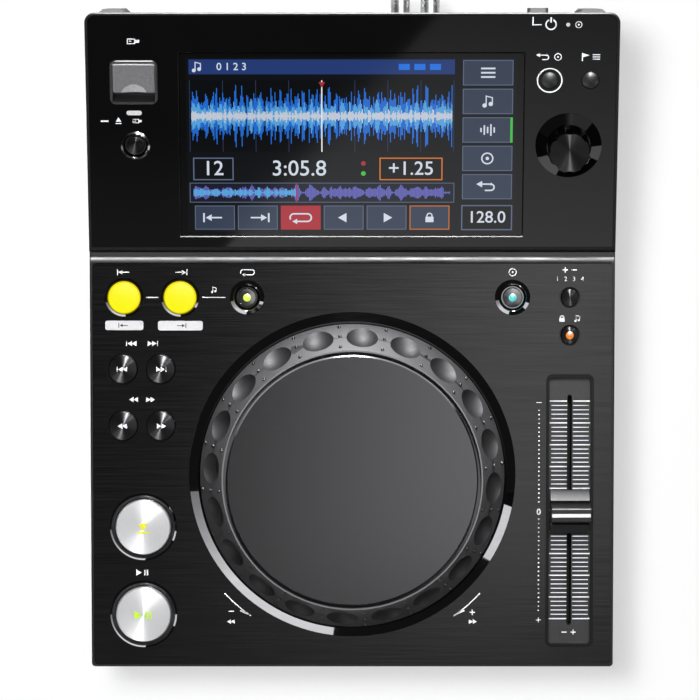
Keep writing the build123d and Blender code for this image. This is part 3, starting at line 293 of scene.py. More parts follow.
def lit(name, middle, rim, strength=1.0):
    """Translucent plastic lit from behind."""
    mat = finish(name, [c * 0.06 for c in middle], 0.3)
    tint(mat, grain(mat, 1.2, detail=1.0), rim, middle, "Emission Color", 0.35, 0.65)
    shader_of(mat).inputs["Emission Strength"].default_value = strength
    return mat


def cap_glow(name, middle, rim):
    """Lit cap, brighter in the middle; the cap carries its own distance from the middle."""
    mat = finish(name, [c * 0.04 for c in middle], 0.35, Specular_IOR_Level=0.15)
    far = add(mat, "ShaderNodeAttribute", attribute_name="from_middle")
    tint(mat, far.outputs["Fac"], middle, rim, "Emission Color", 0.75, 1.0)
    vary(mat, grain(mat, 0.8), "Roughness", 0.28, 0.4)
    shader_of(mat).inputs["Emission Strength"].default_value = 0.9
    return mat


def satin(name, level, rough):
    """Fine matt coat on metal, with painted shading: lighter towards the inner edge of the wheel, darker
    towards the foot of the cone.
    """
    mat = finish(name, grey(level), rough, 1.0)
    # Painted shade: the colour darkens from the top of the cone out to its foot
    outwards = from_jog(mat, CONE_TOP[0], CONE_FOOT[0])
    tint(mat, outwards, grey(level * 1.15), grey(level * 0.85), low=0.0, high=1.0)
    vary(mat, grain(mat, 0.9), "Roughness", rough - 0.02, rough + 0.02)
    return mat


def hairline(name, dark, light, rough):
    """Panel brushed along its width."""
    mat = finish(name, grey(dark), rough, Anisotropic=0.6, Specular_IOR_Level=0.36)
    brushed(mat, "X")
    lines = grain(mat, 0.35, (90, 1, 1), 5.0)
    tint(mat, lines, grey(dark), grey(light))
    vary(mat, lines, "Roughness", rough * 0.85, rough * 1.15)
    vary(mat, lines, "Specular IOR Level", 0.31, 0.42)
    relief(mat, lines, 0.01)
    return mat


def grooved(name, level, rough):
    """Satin metal disc with fine turned grooves."""
    mat = finish(name, grey(level), rough, 1.0)
    wave = add(mat, "ShaderNodeTexWave", wave_type="RINGS", rings_direction="Z")
    wave.inputs["Scale"].default_value = 260.0
    link(mat, round_jog(mat), wave.inputs["Vector"])
    fine = grain(mat, 1.5, (3, 1, 1))
    tint(mat, fine, grey(level * 0.98), grey(level * 1.02))
    vary(mat, fine, "Roughness", rough * 0.95, rough * 1.05)
    relief(mat, wave.outputs["Fac"], 0.003, 0.5)
    return mat


def picture(name):
    """Lit picture elements under glass, coloured by the picture's own attribute."""
    mat = finish(name, (0, 0, 0), 0.06)
    ink = add(mat, "ShaderNodeAttribute", attribute_name="ink")
    dots = grain(mat, 0.5, detail=0.0)
    shade = add(mat, "ShaderNodeMix", data_type="RGBA", blend_type="MULTIPLY")
    ramp = add(mat, "ShaderNodeValToRGB")
    ramp.color_ramp.elements[0].color = (0.9, 0.9, 0.9, 1)
    link(mat, dots, ramp.inputs["Fac"])
    shade.inputs["Factor"].default_value = 1.0
    link(mat, ink.outputs["Color"], shade.inputs["A"])
    link(mat, ramp.outputs["Color"], shade.inputs["B"])
    link(mat, shade.outputs["Result"], shader_of(mat).inputs["Emission Color"])
    shader_of(mat).inputs["Emission Strength"].default_value = 1.0
    return mat


finishes = {
    "case_plastic": moulded("case_plastic", 0.004, 0.45, shine=0.15),
    "deck_hairline": hairline("deck_hairline", 0.0006, 0.0014, 0.14),
    "gloss_black": glossy("gloss_black", 0.0008, 0.03),
    "bright_trim": plated("bright_trim", (0.09, 0.09, 0.092), 0.6),
    "black_chrome": plated("black_chrome", (0.16, 0.16, 0.165), 0.04),
    "spun_aluminium": spun("spun_aluminium", (0.53, 0.53, 0.54), 0.36, 0.17),
    "dark_spun": spun("dark_spun", (0.036, 0.036, 0.0375), 0.26),
    "yellow_lit": cap_glow("yellow_lit", rgb(255, 250, 0), rgb(245, 190, 0)),
    "green_lit": lit("green_lit", rgb(240, 255, 110), rgb(215, 235, 60)),
    "cyan_lit": lit("cyan_lit", rgb(120, 240, 235), rgb(60, 200, 200)),
    "orange_lit": lit("orange_lit", rgb(240, 140, 40), rgb(225, 115, 20)),
    "lamp_white": lit("lamp_white", (0.85, 0.85, 0.85), (0.7, 0.7, 0.72), strength=0.8),
    "display_glass": glossy("display_glass", 0.001, 0.04),
    "lcd_panel": glossy("lcd_panel", 0.02, 0.3),
    "steel": plated("steel", (0.55, 0.55, 0.56), 0.3),
    "bronze": plated("bronze", (0.5, 0.32, 0.14), 0.35),
    "board": moulded("board", 0.03, 0.5, 4.0, 0.01),
    "switch_black": moulded("switch_black", 0.02, 0.5),
    "jog_ring_black": satin("jog_ring_black", 0.055, 0.62),
    "platter_satin": grooved("platter_satin", 0.073, 0.16),
    "hub_plastic": moulded("hub_plastic", 0.03, 0.5),
    "fader_black": moulded("fader_black", 0.012, 0.32, shine=0.2),
    "tray_black": moulded("tray_black", 0.016, 0.42, shine=0.22),
    "cover_grey": moulded("cover_grey", 0.12, 0.35),
    "socket_metal": plated("socket_metal", (0.62, 0.62, 0.63), 0.25),
    "rubber": moulded("rubber", 0.02, 0.8, 1.5, 0.05),
}
print_white = finish("print_white", (0.75, 0.75, 0.75), 0.5)
tint(print_white, grain(print_white, 0.6), grey(0.7), grey(0.8))
pill_grey = finish("pill_grey", grey(0.52), 0.5)
tint(pill_grey, grain(pill_grey, 1.2), grey(0.5), grey(0.55))
glow_yellow = lit("glow_yellow", rgb(238, 238, 40), rgb(215, 215, 20))
glow_lime = lit("glow_lime", rgb(200, 248, 30), rgb(180, 228, 10))
screen_glow = picture("screen_glow")
pip_black = moulded("pip_black", 0.012, 0.2)
# Rear-facing faces of the console's lip: a shinier copy of the case plastic, also lighter in colour as a
# painted highlight along the rim
rim_gloss_painted_highlight = moulded("rim_gloss_painted_highlight", 0.006, 0.45, shine=0.5)
# Painted shade: the finger dimples get a darker copy of the jog ring's satin, as shade in the hollows
dimple_painted_shade = satin("dimple_painted_shade", 0.028, 0.56)
frame_grey = moulded("frame_grey", 0.02, 0.35)
# Painted highlight: the thumb scoop of the USB cover gets a lighter grey than the rest of the cover
scoop_painted_highlight = moulded("scoop_painted_highlight", 0.3, 0.35)
cap_chrome = plated("cap_chrome", (0.15, 0.15, 0.155), 0.15)
button_gloss = glossy("button_gloss", 0.014, 0.36, shine=0.28)
ring_gloss = glossy("ring_gloss", 0.0008, 0.03, shine=0.2)
edge_satin = glossy("edge_satin", 0.001, 0.3)
# Painted shade: near-black plastic on the fader's pot and the tray's lip, standing for the shade down the
# slot and in the gap round the tray
painted_gap_shade = moulded("painted_gap_shade", 0.003, 0.4, shine=0.08)
deep_spun = spun("deep_spun", (0.02, 0.02, 0.021), 0.22)

# The fader's cap is shinier at the front than on its rear facet
fader_black = finishes["fader_black"]
facet_light = run_along(fader_black, ALONG_Y, FACET_Y[0] * MM, FACET_Y[1] * MM, 0.2, 0.03)
link(fader_black, facet_light, shader_of(fader_black).inputs["Specular IOR Level"])

# Finishes on the solids
own_finish = {
    "reloop_key": cap_chrome,
    "vinyl_key": cap_chrome,
    "back_key": button_gloss,
    "tag_key": button_gloss,
    "tempo_range_key": deep_spun,
    "master_tempo_key": deep_spun,
    "fader_pot": painted_gap_shade,
    "usb_bezel": frame_grey,
    "jog_bezel": finishes["black_chrome"],
}
for part in frame["record"]["subparts"]:
    solid = nodes[part["node"]]
    solid.data.materials.clear()
    solid.data.materials.append(own_finish.get(part["node"], finishes[part["material_slot"]]))


def second_finish(name, coat, test):
    """Gives the faces that pass a test another finish."""
    mesh = nodes[name].data
    mesh.materials.append(coat)
    for face in mesh.polygons:
        if test(face):
            face.material_index = len(mesh.materials) - 1


# Tests for the faces that take another finish
def rear_lip(face):
    return face.normal.y > 0.1 and face.normal.z > 0.2


def window_edge(face):
    return 0.4 < face.normal.dot(console_up) < 0.95


def knob_side(face):
    return face.normal.dot(console_up) < 0.95


def selector_ring(face):
    return face.center.x > SELECT[0] * MM / 2 and face.center.y > STEP_Y * MM


def stop_ring(face):
    return face.center.x < STOP[0] * MM / 2 and face.center.y > STEP_Y * MM


def in_dimple(face):
    """Tells the faces of the finger dimples, which lie under the cone of the jog ring."""
    spoke = (face.center - Vector((0, JOG_Y * MM, 0))).xy
    share = (face.center.z / MM - CONE_FOOT[1]) / (CONE_TOP[1] - CONE_FOOT[1])
    faces_out = face.normal.xy.dot(spoke.normalized()) > -0.3 and face.normal.z > -0.3
    return 0.0 < share < 0.97 and faces_out and spoke.length < (on_cone(share)[0] - 0.05) * MM


def tray_lip(face):
    return face.center.z > (DECK_Z - TRAY_LIP) * MM


def cover_scoop(face):
    return 0.3 < face.normal.dot(console_up) < 0.985


# Painted highlight on the rear-facing faces of the console's lip, with real extra gloss
second_finish("console_case", rim_gloss_painted_highlight, rear_lip)
second_finish("screen_fascia", edge_satin, window_edge)
second_finish("selector_knob", finishes["gloss_black"], knob_side)
second_finish("key_rings", ring_gloss, selector_ring)
second_finish("key_rings", cap_chrome, stop_ring)
# Painted shade in the finger dimples
second_finish("jog_ring", dimple_painted_shade, in_dimple)
# Painted shade in the gap round the fader's tray
second_finish("fader_tray", painted_gap_shade, tray_lip)
# Painted highlight in the cover's thumb scoop
second_finish("usb_cover", scoop_painted_highlight, cover_scoop)
for cap in ("loop_in_key", "loop_out_key"):
    low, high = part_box(cap)
    middle = (low + high) / 2
    reach = (high.x - low.x) / 2
    layer = nodes[cap].data.attributes.new("from_middle", "FLOAT", "POINT")
    for vertex, value in zip(nodes[cap].data.vertices, layer.data):
        value.value = (vertex.co - middle).xy.length / reach


# Flat shapes: points in millimetres and faces
def patch(points):
    return points, [tuple(range(len(points)))]


def box_of(x, y, width, height):
    """Corners of a rectangle round a place."""
    w, h = width / 2, height / 2
    return [(x - w, y - h), (x + w, y - h), (x + w, y + h), (x - w, y + h)]


def bar(x, y, width, height):
    return patch(box_of(x, y, width, height))


def arc(x, y, radius, start, end, steps=24):
    angles = [math.radians(start + (end - start) * i / steps) for i in range(steps + 1)]
    return [(x + radius * math.cos(a), y + radius * math.sin(a)) for a in angles]


def spot(x, y, radius):
    return patch(arc(x, y, radius, 0, 360)[:-1])


def tablet(x, y, width, height, r):
    """Rectangle with round corners."""
    w, h = width / 2 - r, height / 2 - r
    places = ((w, h, 0), (-w, h, 90), (-w, -h, 180), (w, -h, 270))
    return patch([p for u, v, turn in places for p in arc(x + u, y + v, r, turn, turn + 90, 6)])


def ribbon(points, width, closed=False):
    """Line of a given width with mitred corners."""
    points = [Vector(p) for p in points]
    count = len(points)
    left, right = [], []
    for i, point in enumerate(points):
        before = points[i - 1] if i or closed else None
        after = points[(i + 1) % count] if i < count - 1 or closed else None
        a = (point - before).normalized() if before is not None else (after - point).normalized()
        b = (after - point).normalized() if after is not None else a
        side = Vector((-a.y - b.y, a.x + b.x)).normalized()
        reach = width / 2 / max(0.4, side.dot(Vector((-a.y, a.x))))
        left.append(tuple(point + side * reach))
        right.append(tuple(point - side * reach))
    last = count if closed else count - 1
    faces = [(i, count + i, count + (i + 1) % count, (i + 1) % count) for i in range(last)]
    return left + right, faces


def hoop(x, y, radius, width, start=0, end=360):
    whole = abs(end - start) == 360
    points = arc(x, y, radius, start, end, 40)
    return ribbon(points[:-1] if whole else points, width, whole)


def frame_line(x, y, width, height, line):
    return ribbon(box_of(x, y, width, height), line, True)


def arrow_head(x, y, size, turn=0):
    """Triangle with its point along the turn."""
    return patch(arc(x, y, size, turn, turn + 360, 3)[:-1])


def moved(shapes, x, y, scale=1.0):
    return [([(x + scale * u, y + scale * v) for u, v in points], faces) for points, faces in shapes]


def numeral(text, x, y, height, weight=0.0):
    """Plain numbers as flat shapes, centred on a place."""
    curve = bpy.data.curves.new("numeral", "FONT")
    curve.body = text
    curve.align_x = "CENTER"
    curve.align_y = "CENTER"
    curve.size = height * 1.4
    curve.offset = weight
    curve.resolution_u = 4
    holder = bpy.data.objects.new("numeral", curve)
    made = plain_mesh(holder)
    return [(x + v.co.x, y + v.co.y) for v in made.vertices], [tuple(f.vertices) for f in made.polygons]


# Meshes and pieces
def plain_mesh(holder):
    """Mesh of an object as it comes out; the object itself goes."""
    bpy.context.collection.objects.link(holder)
    bpy.context.view_layer.update()
    made = bpy.data.meshes.new_from_object(holder.evaluated_get(bpy.context.evaluated_depsgraph_get()))
    bpy.data.objects.remove(holder)
    return made


def stacked(parts):
    """Points and faces of several parts in one list each."""
    points, faces = [], []
    for spots, sides in parts:
        start = len(points)
        points += spots
        faces += [tuple(start + i for i in side) for side in sides]
    return points, faces


def laid(shapes, place, lift):
    """Points in metres and faces of flat shapes just above a surface."""
    parts = []
    for outline, sides in shapes:
        parts.append(([place @ Vector((u, v, lift)) * MM for u, v in outline], sides))
    return stacked(parts)


def parts_of(mesh):
    return [v.co.copy() for v in mesh.vertices], [tuple(f.vertices) for f in mesh.polygons]


def face_up(mesh, up):
    """Turns the faces of a flat mesh to one side."""
    for face in mesh.polygons:
        if face.normal.dot(up) < 0:
            face.flip()


def piece(name, mesh, coat, body):
    mesh.materials.clear()
    mesh.materials.append(coat)
    made = bpy.data.objects.new(name, mesh)
    bpy.context.collection.objects.link(made)
    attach(made, body)
    return made


def printed(name, place, shapes, coat=print_white, body="chassis", lift=INK):
    """One print: all its shapes lie just above a surface."""
    points, faces = laid(shapes, place, lift)
    mesh = bpy.data.meshes.new(name)
    mesh.from_pydata(points, [], faces)
    face_up(mesh, place.to_3x3() @ Vector((0, 0, 1)))
    return piece(name, mesh, coat, body)


def joined(name, meshes, coat, body):
    """One piece from several patterns on one body."""
    points, faces = stacked([parts_of(mesh) for mesh in meshes])
    whole = bpy.data.meshes.new(name)
    whole.from_pydata(points, [], faces)
    return piece(name, whole, coat, body)


# Small symbols, about one unit high
triangle = [arrow_head(0, 0, 0.6)]
back_triangle = [arrow_head(0, 0, 0.6, 180)]
double_on = moved(triangle, -0.42, 0) + moved(triangle, 0.42, 0)
double_back = moved(back_triangle, -0.42, 0) + moved(back_triangle, 0.42, 0)
skip_on = moved(double_on, -0.12, 0) + [bar(1.08, 0, 0.18, 1.0)]
skip_back = moved(double_back, 0.12, 0) + [bar(-1.08, 0, 0.18, 1.0)]
play_pause = moved(triangle, -0.75, 0) + [bar(0.35, 0, 0.24, 0.95), bar(0.8, 0, 0.24, 0.95)]
cue_mark = [arrow_head(0, 0.18, 0.6, 270), bar(0, -0.55, 1.3, 0.2)]
sign_minus = [bar(0, 0, 0.9, 0.18)]
sign_plus = [bar(0, 0, 0.9, 0.18), bar(0, 0.27, 0.18, 0.36), bar(0, -0.27, 0.18, 0.36)]
mark_in = [bar(-1.15, 0, 0.18, 1.0), bar(0.1, 0, 1.3, 0.16), arrow_head(-0.55, 0, 0.42, 180)]
mark_out = [bar(1.15, 0, 0.18, 1.0), bar(-0.1, 0, 1.3, 0.16), arrow_head(0.55, 0, 0.42, 0)]
mark_loop = [
    ribbon(arc(0.7, 0, 0.42, -90, 90, 10) + arc(-0.7, 0, 0.42, 90, 210, 12), 0.16),
    bar(0, -0.42, 1.4, 0.16),
    arrow_head(-0.55, -0.42, 0.34, 180),
]
mark_disc = [hoop(0, 0, 0.5, 0.13), spot(0, 0, 0.16)]
mark_lock = [
    bar(0, -0.2, 0.85, 0.6),
    ribbon([(-0.26, 0.1), *arc(0, 0.22, 0.26, 180, 0, 10), (0.26, 0.1)], 0.13),
]
mark_note = [
    spot(-0.3, -0.38, 0.2),
    ribbon([(-0.16, -0.36), (-0.16, 0.5), (0.4, 0.36), (0.4, -0.2)], 0.1),
    spot(0.26, -0.24, 0.2),
]
mark_stick = [frame_line(0, 0, 0.9, 0.6, 0.12), bar(0.75, 0, 0.5, 0.4), bar(-0.1, 0, 0.3, 0.12)]
mark_eject = [arrow_head(0, 0.15, 0.5, 90), bar(0, -0.42, 0.9, 0.16)]
mark_return = [
    ribbon([(-0.5, 0.25), (0.35, 0.25), *arc(0.35, -0.05, 0.3, 90, -90, 10), (-0.2, -0.35)], 0.14),
    arrow_head(-0.62, 0.25, 0.36, 180),
]
mark_flag = [bar(-0.45, 0, 0.12, 1.1), patch([(-0.39, 0.5), (0.5, 0.22), (-0.39, -0.06)])]
mark_power = [hoop(0, 0, 0.46, 0.13, 115, 425), bar(0, 0.42, 0.14, 0.5)]
mark_list = [bar(0, y, 1.3, 0.16) for y in (-0.4, 0, 0.4)]
mark_wave = [bar(0.3 * i, 0, 0.14, h) for i, h in zip(range(-2, 3), (0.4, 0.9, 0.6, 1.1, 0.5))]


def set_out(legends, along=float):
    """Shapes of legends, each given as a symbol, its place in plan and its height."""
    shapes = []
    for symbol, x, y, height in legends:
        shapes += moved(symbol, x, along(y), height)
    return shapes


# Printing on the deck and in the fader's tray
deck_legends = (
    (mark_in, -96.5, LOOP_LEGENDS, LEGEND_H),
    (mark_out, -73.0, LOOP_LEGENDS, LEGEND_H),
    (mark_loop, -44.4, LOOP_LEGENDS, LEGEND_H),
    (mark_note, -58.7, 19.4, MARK_H),
    (mark_disc, 67.9, LOOP_LEGENDS, 3.0),
    (sign_plus, 90.2, TEMPO_LEGENDS, LEGEND_H),
    (sign_minus, 94.0, TEMPO_LEGENDS, LEGEND_H),
    (mark_lock, 88.9, MASTER_LEGENDS, LEGEND_H),
    (mark_note, 95.4, MASTER_LEGENDS, LEGEND_H),
    (skip_back, -93.4, TRACK_LEGENDS, SMALL_H),
    (skip_on, -85.0, TRACK_LEGENDS, SMALL_H),
    (double_back, -92.6, SEARCH_LEGENDS, SMALL_H),
    (double_on, -86.0, SEARCH_LEGENDS, SMALL_H),
    (play_pause, -89.4, -101.4, LEGEND_H),
    (sign_minus, SWEEP_X[0], -118.1, LEGEND_H),
    (sign_plus, SWEEP_X[1], -118.6, LEGEND_H),
    (double_back, SWEEP_X[0], -122.6, 2.0),
    (double_on, SWEEP_X[1], -122.6, 2.0),
    (sign_minus, SCALE_X, -28.6, MARK_H),
    (sign_plus, SCALE_X, -121.9, MARK_H),
)
deck_print = set_out(deck_legends)
deck_print += [numeral("1   2   3   4", *TEMPO_STEPS, 1.9), numeral("0", SCALE_X, ZERO_Y, LEGEND_H, 0.06)]
deck_print += [bar(-84.8, LOOP_ROW, 5.3, LINE), bar(-58.7, LOOP_ROW, 9.9, LINE)]
for turn in (-1, 1):
    start, end = [270 + turn * angle for angle in SWEEP_ANGLES]
    inner = arc(0, JOG_Y, SWEEP_R, start, end, 12)
    outer = arc(0, JOG_Y, SWEEP_R + SWEEP_WEDGE, start, end, 12)
    deck_print += [ribbon(inner, LINE * 1.2), patch([inner[4], inner[0], outer[4]])]
printed("deck_print", deck, deck_print)
pills = [tablet(*IN_PILL, 16.2, 4.0, 1.0), tablet(*OUT_PILL, 19.0, 4.05, 1.0)]
printed("deck_pills", deck, pills, pill_grey)
pill_marks = moved(mark_in, *IN_PILL, 2.0) + moved(mark_out, *OUT_PILL, 2.0)
printed("pill_marks", deck, pill_marks, finishes["tray_black"], lift=2 * INK)
tray_print = ((sign_minus, 90.6, TRAY_LEGENDS, MARK_H), (sign_plus, 94.4, TRAY_LEGENDS, MARK_H))
printed("tray_print", tray, set_out(tray_print))
printed("fader_line", Matrix.Translation((*FADER, RIDGE_Z)), [bar(0, 0, *FADER_LINE)], body="fader")

# Printing on the console
console_legends = (
    (mark_stick, -92.0, 124.8, 3.4),
    (mark_eject, -97.8, STOP_LEGENDS, LEGEND_H),
    (mark_stick, -90.6, STOP_LEGENDS, LEGEND_H),
    (mark_return, 79.6, BACK_LEGENDS, 3.2),
    (mark_disc, 85.6, BACK_LEGENDS, 2.8),
    (mark_flag, 97.2, BACK_LEGENDS, 3.2),
    (mark_list, 101.6, BACK_LEGENDS, MARK_H),
    (mark_power, 82.5, 131.8, 4.6),
    (mark_disc, 94.0, POWER_LEGENDS, LEGEND_H),
)
console_print = set_out(console_legends, slope)
console_print += [bar(-103.6, slope(STOP_LEGENDS), 3.2, 0.8)]
power_corner = [(75.0, slope(134.9)), (75.0, slope(POWER_LEGENDS)), (78.6, slope(POWER_LEGENDS))]
console_print += [ribbon(power_corner, 0.5)]
printed("console_print", console, console_print)


# Printing on the keys
def on_key(name, symbol, spot_at, height, coat=print_white):
    """Symbol on the top of a key, which it rides with."""
    place = Matrix.Translation((*spot_at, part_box(name.replace("_mark", "_key"))[1].z / MM))
    return printed(name, place, moved(symbol, 0, 0, height), coat, name.replace("_mark", ""))


half = PAIR_PITCH / 2
on_key("track_prev_mark", skip_back, (PAIR_X - half, TRACK_Y), 2.2)
on_key("track_next_mark", skip_on, (PAIR_X + half, TRACK_Y), 2.2)
on_key("search_rev_mark", double_back, (PAIR_X - half, SEARCH_Y), 2.3)
on_key("search_fwd_mark", double_on, (PAIR_X + half, SEARCH_Y), 2.3)
on_key("cue_mark", cue_mark, CUE, 4.0, glow_yellow)
on_key("play_mark", play_pause, PLAY, 3.6, glow_lime)
back_place = console @ Matrix.Translation((BACK[0], slope(BACK[1]), 0))
printed("back_circle", back_place, [hoop(0, 0, *BACK_CIRCLE)])


# Patterns that repeat
def tree_for(name, sockets):
    """Empty pattern with named sizes and a finish."""
    tree = bpy.data.node_groups.new(name, "GeometryNodeTree")
    tree.interface.new_socket("Geometry", in_out="OUTPUT", socket_type="NodeSocketGeometry")
    for label, kind in {**sockets, "Finish": "Material"}.items():
        tree.interface.new_socket(label, in_out="INPUT", socket_type="NodeSocket" + kind)
    return tree, tree.nodes.new("NodeGroupInput"), tree.nodes.new("NodeGroupOutput")


def close_tree(tree, given, result, instances):
    """Ends a pattern: real faces with a finish."""
    real = tree.nodes.new("GeometryNodeRealizeInstances")
    coat = tree.nodes.new("GeometryNodeSetMaterial")
    tree.links.new(instances.outputs["Instances"], real.inputs["Geometry"])
    tree.links.new(real.outputs["Geometry"], coat.inputs["Geometry"])
    tree.links.new(given.outputs["Finish"], coat.inputs["Material"])
    tree.links.new(coat.outputs["Geometry"], result.inputs["Geometry"])


def marks_in_line(tree, given, axis):
    """Flat marks set out along an axis."""
    step = tree.nodes.new("ShaderNodeCombineXYZ")
    line = tree.nodes.new("GeometryNodeMeshLine")
    mark = tree.nodes.new("GeometryNodeMeshGrid")
    mark.inputs["Vertices X"].default_value = 2
    mark.inputs["Vertices Y"].default_value = 2
    instances = tree.nodes.new("GeometryNodeInstanceOnPoints")
    tree.links.new(given.outputs["Pitch"], step.inputs[axis])
    tree.links.new(given.outputs["Count"], line.inputs["Count"])
    tree.links.new(step.outputs["Vector"], line.inputs["Offset"])
    tree.links.new(given.outputs["Width"], mark.inputs["Size X"])
    tree.links.new(given.outputs["Height"], mark.inputs["Size Y"])
    tree.links.new(line.outputs["Mesh"], instances.inputs["Points"])
    tree.links.new(mark.outputs["Mesh"], instances.inputs["Instance"])
    return instances


def row_tree():
    """Marks in a row along Y."""
    kinds = {"Count": "Int", "Pitch": "Float", "Width": "Float", "Height": "Float"}
    tree, given, result = tree_for("row_of_marks", kinds)
    close_tree(tree, given, result, marks_in_line(tree, given, "Y"))
    return tree


def wave_tree():
    """Bars in a row along X whose heights follow noise."""
    kinds = {"Count": "Int", "Pitch": "Float", "Width": "Float", "Height": "Float", "Rate": "Float"}
    tree, given, result = tree_for("wave_of_bars", kinds)
    instances = marks_in_line(tree, given, "X")
    index = tree.nodes.new("GeometryNodeInputIndex")
    rate = tree.nodes.new("ShaderNodeMath")
    rate.operation = "MULTIPLY"
    noise = tree.nodes.new("ShaderNodeTexNoise")
    noise.noise_dimensions = "1D"
    noise.inputs["Scale"].default_value = 1.0
    noise.inputs["Detail"].default_value = 4.0
    span = tree.nodes.new("ShaderNodeMapRange")
    span.inputs["From Min"].default_value = 0.32
    span.inputs["From Max"].default_value = 0.72
    span.inputs["To Min"].default_value = 0.1
    size = tree.nodes.new("ShaderNodeCombineXYZ")
    size.inputs["X"].default_value = 1.0
    size.inputs["Z"].default_value = 1.0
    tree.links.new(index.outputs["Index"], rate.inputs[0])
    tree.links.new(given.outputs["Rate"], rate.inputs[1])
    tree.links.new(rate.outputs["Value"], noise.inputs["W"])
    tree.links.new(noise.outputs["Fac"], span.inputs["Value"])
    tree.links.new(span.outputs["Result"], size.inputs["Y"])
    tree.links.new(size.outputs["Vector"], instances.inputs["Scale"])
    close_tree(tree, given, result, instances)
    return tree


def ring_tree():
    """Round studs in a ring about Z."""
    kinds = {"Count": "Int", "Radius": "Float", "Size": "Float"}
    tree, given, result = tree_for("ring_of_studs", kinds)
    circle = tree.nodes.new("GeometryNodeMeshCircle")
    stud = tree.nodes.new("GeometryNodeMeshIcoSphere")
    stud.inputs["Subdivisions"].default_value = 2
    instances = tree.nodes.new("GeometryNodeInstanceOnPoints")
    tree.links.new(given.outputs["Count"], circle.inputs["Vertices"])
    tree.links.new(given.outputs["Radius"], circle.inputs["Radius"])
    tree.links.new(given.outputs["Size"], stud.inputs["Radius"])
    tree.links.new(circle.outputs["Mesh"], instances.inputs["Points"])
    tree.links.new(stud.outputs["Mesh"], instances.inputs["Instance"])
    close_tree(tree, given, result, instances)
    return tree


def screw_tree():
    """Screw heads on given points."""
    kinds = {"Points": "Geometry", "Radius": "Float", "Depth": "Float"}
    tree, given, result = tree_for("screw_heads", kinds)
    head = tree.nodes.new("GeometryNodeMeshCylinder")
    head.inputs["Vertices"].default_value = 24
    instances = tree.nodes.new("GeometryNodeInstanceOnPoints")
    tree.links.new(given.outputs["Radius"], head.inputs["Radius"])
    tree.links.new(given.outputs["Depth"], head.inputs["Depth"])
    tree.links.new(given.outputs["Points"], instances.inputs["Points"])
    tree.links.new(head.outputs["Mesh"], instances.inputs["Instance"])
    close_tree(tree, given, result, instances)
    return tree


def grown(tree, coat, place, points=(), **sizes):
    """Mesh of a pattern, moved to its place."""
    seed = bpy.data.meshes.new("seed")
    seed.from_pydata([Vector(p) * MM for p in points], [], [])
    holder = bpy.data.objects.new("holder", seed)
    pattern = holder.modifiers.new("pattern", "NODES")
    pattern.node_group = tree
    given = {"finish": coat, **sizes}
    for socket in tree.interface.items_tree:
        if socket.in_out == "INPUT" and socket.name.lower() in given:
            pattern[socket.identifier] = given[socket.name.lower()]
    made = plain_mesh(holder)
    made.transform(Matrix.Translation(place.translation * MM) @ place.to_3x3().to_4x4())
    return made


row = row_tree()
studs = ring_tree()
waves = wave_tree()
screws = screw_tree()


def marks(place, count, pitch, size):
    """Row of white marks from a place on; pitch and size in millimetres."""
    sizes = {"pitch": pitch * MM, "width": size[0] * MM, "height": size[1] * MM}
    return grown(row, print_white, place, count=count, **sizes)


first = FADER[1] - TICKS // 2 * TICK_PITCH
ladder = []
for side in (-1, 1):
    short_x = FADER[0] + side * 4.6 + 0.2
    long_x = FADER[0] + side * 5.0 + 0.2
    short = tray @ Matrix.Translation((short_x, first, INK))
    long = tray @ Matrix.Translation((long_x, first, 2 * INK))
    ladder.append(marks(short, TICKS, TICK_PITCH, TICK))
    ladder.append(marks(long, TICKS // LONG_EVERY + 1, LONG_EVERY * TICK_PITCH, LONG_TICK))
joined("fader_scale", ladder, print_white, "chassis")
dots = []
for start in (ZERO_Y + 2.5 + TICK_PITCH, ZERO_Y - 3.0 - (DOTS - 1) * TICK_PITCH):
    dots.append(marks(deck @ Matrix.Translation((SCALE_X, start, INK)), DOTS, TICK_PITCH, DOT))
joined("fader_dots", dots, print_white, "chassis")

between = Matrix.Rotation(math.radians(DIMPLE_START - 180 / DIMPLES), 4, "Z")
pips = []
for share in PIP_ROWS:
    radius, height = on_cone(share)
    place = Matrix.Translation((0, JOG_Y, height)) @ between
    pips.append(grown(studs, pip_black, place, count=DIMPLES, radius=radius * MM, size=PIP_R * MM))
joined("jog_pips", pips, pip_black, "jog")
steel = finishes["steel"]
spots = [(x, y, SCREW_Z) for x, y in POSTS]
heads = grown(screws, steel, Matrix.Identity(4), spots, radius=SCREW_R * MM, depth=SCREW_H * MM)
joined("case_screws", [heads], steel, "chassis")

# Picture on the display: colours, then rows and columns in millimetres from its middle
SLATE = rgb(52, 62, 82)
EDGE = rgb(92, 106, 132)
NIGHT = rgb(9, 11, 16)
WELL = rgb(4, 6, 10)
GRID = rgb(40, 54, 84)
DUSK = rgb(20, 24, 40)
TITLE = rgb(34, 58, 116)
BLUE = rgb(36, 116, 224)
SKY = rgb(96, 178, 240)
DEEP = rgb(22, 66, 150)
RED = rgb(172, 44, 56)
ORANGE = rgb(214, 118, 40)
GREEN = rgb(70, 190, 70)
VIOLET = rgb(104, 104, 190)
PALE = rgb(214, 222, 235)
NEEDLE = rgb(240, 240, 245)
LEVEL = 0.015
PICTURE = (138.0, 76.0)
MAIN_X = -12.4
MAIN_W = 111.0
TITLE_Y = 33.9
WAVE_Y = 12.6
WAVE_H = 31.0
GRID_PITCH = 13.8
FIGURE_Y = -10.4
FIGURE_H = 9.4
LOOP_SIGN_X = -58.0
CLOCK_X = -22.0
LIGHT_X = 5.0
PACE_X = 25.0
STRIP_Y = -20.8
STRIP_H = 8.4
PAD_START = -57.6
PAD_PITCH = 18.1
PAD_Y = -31.8
PAD_W = 16.8
PAD_H = 10.6
MENU_X = 57.0
MENU_W = 21.0
MENU_TOP = 31.4
MENU_PITCH = 12.4
MENU_H = 11.0
FINE_BARS = (0.42, 0.34)
WIDE_BARS = (0.54, 0.44)
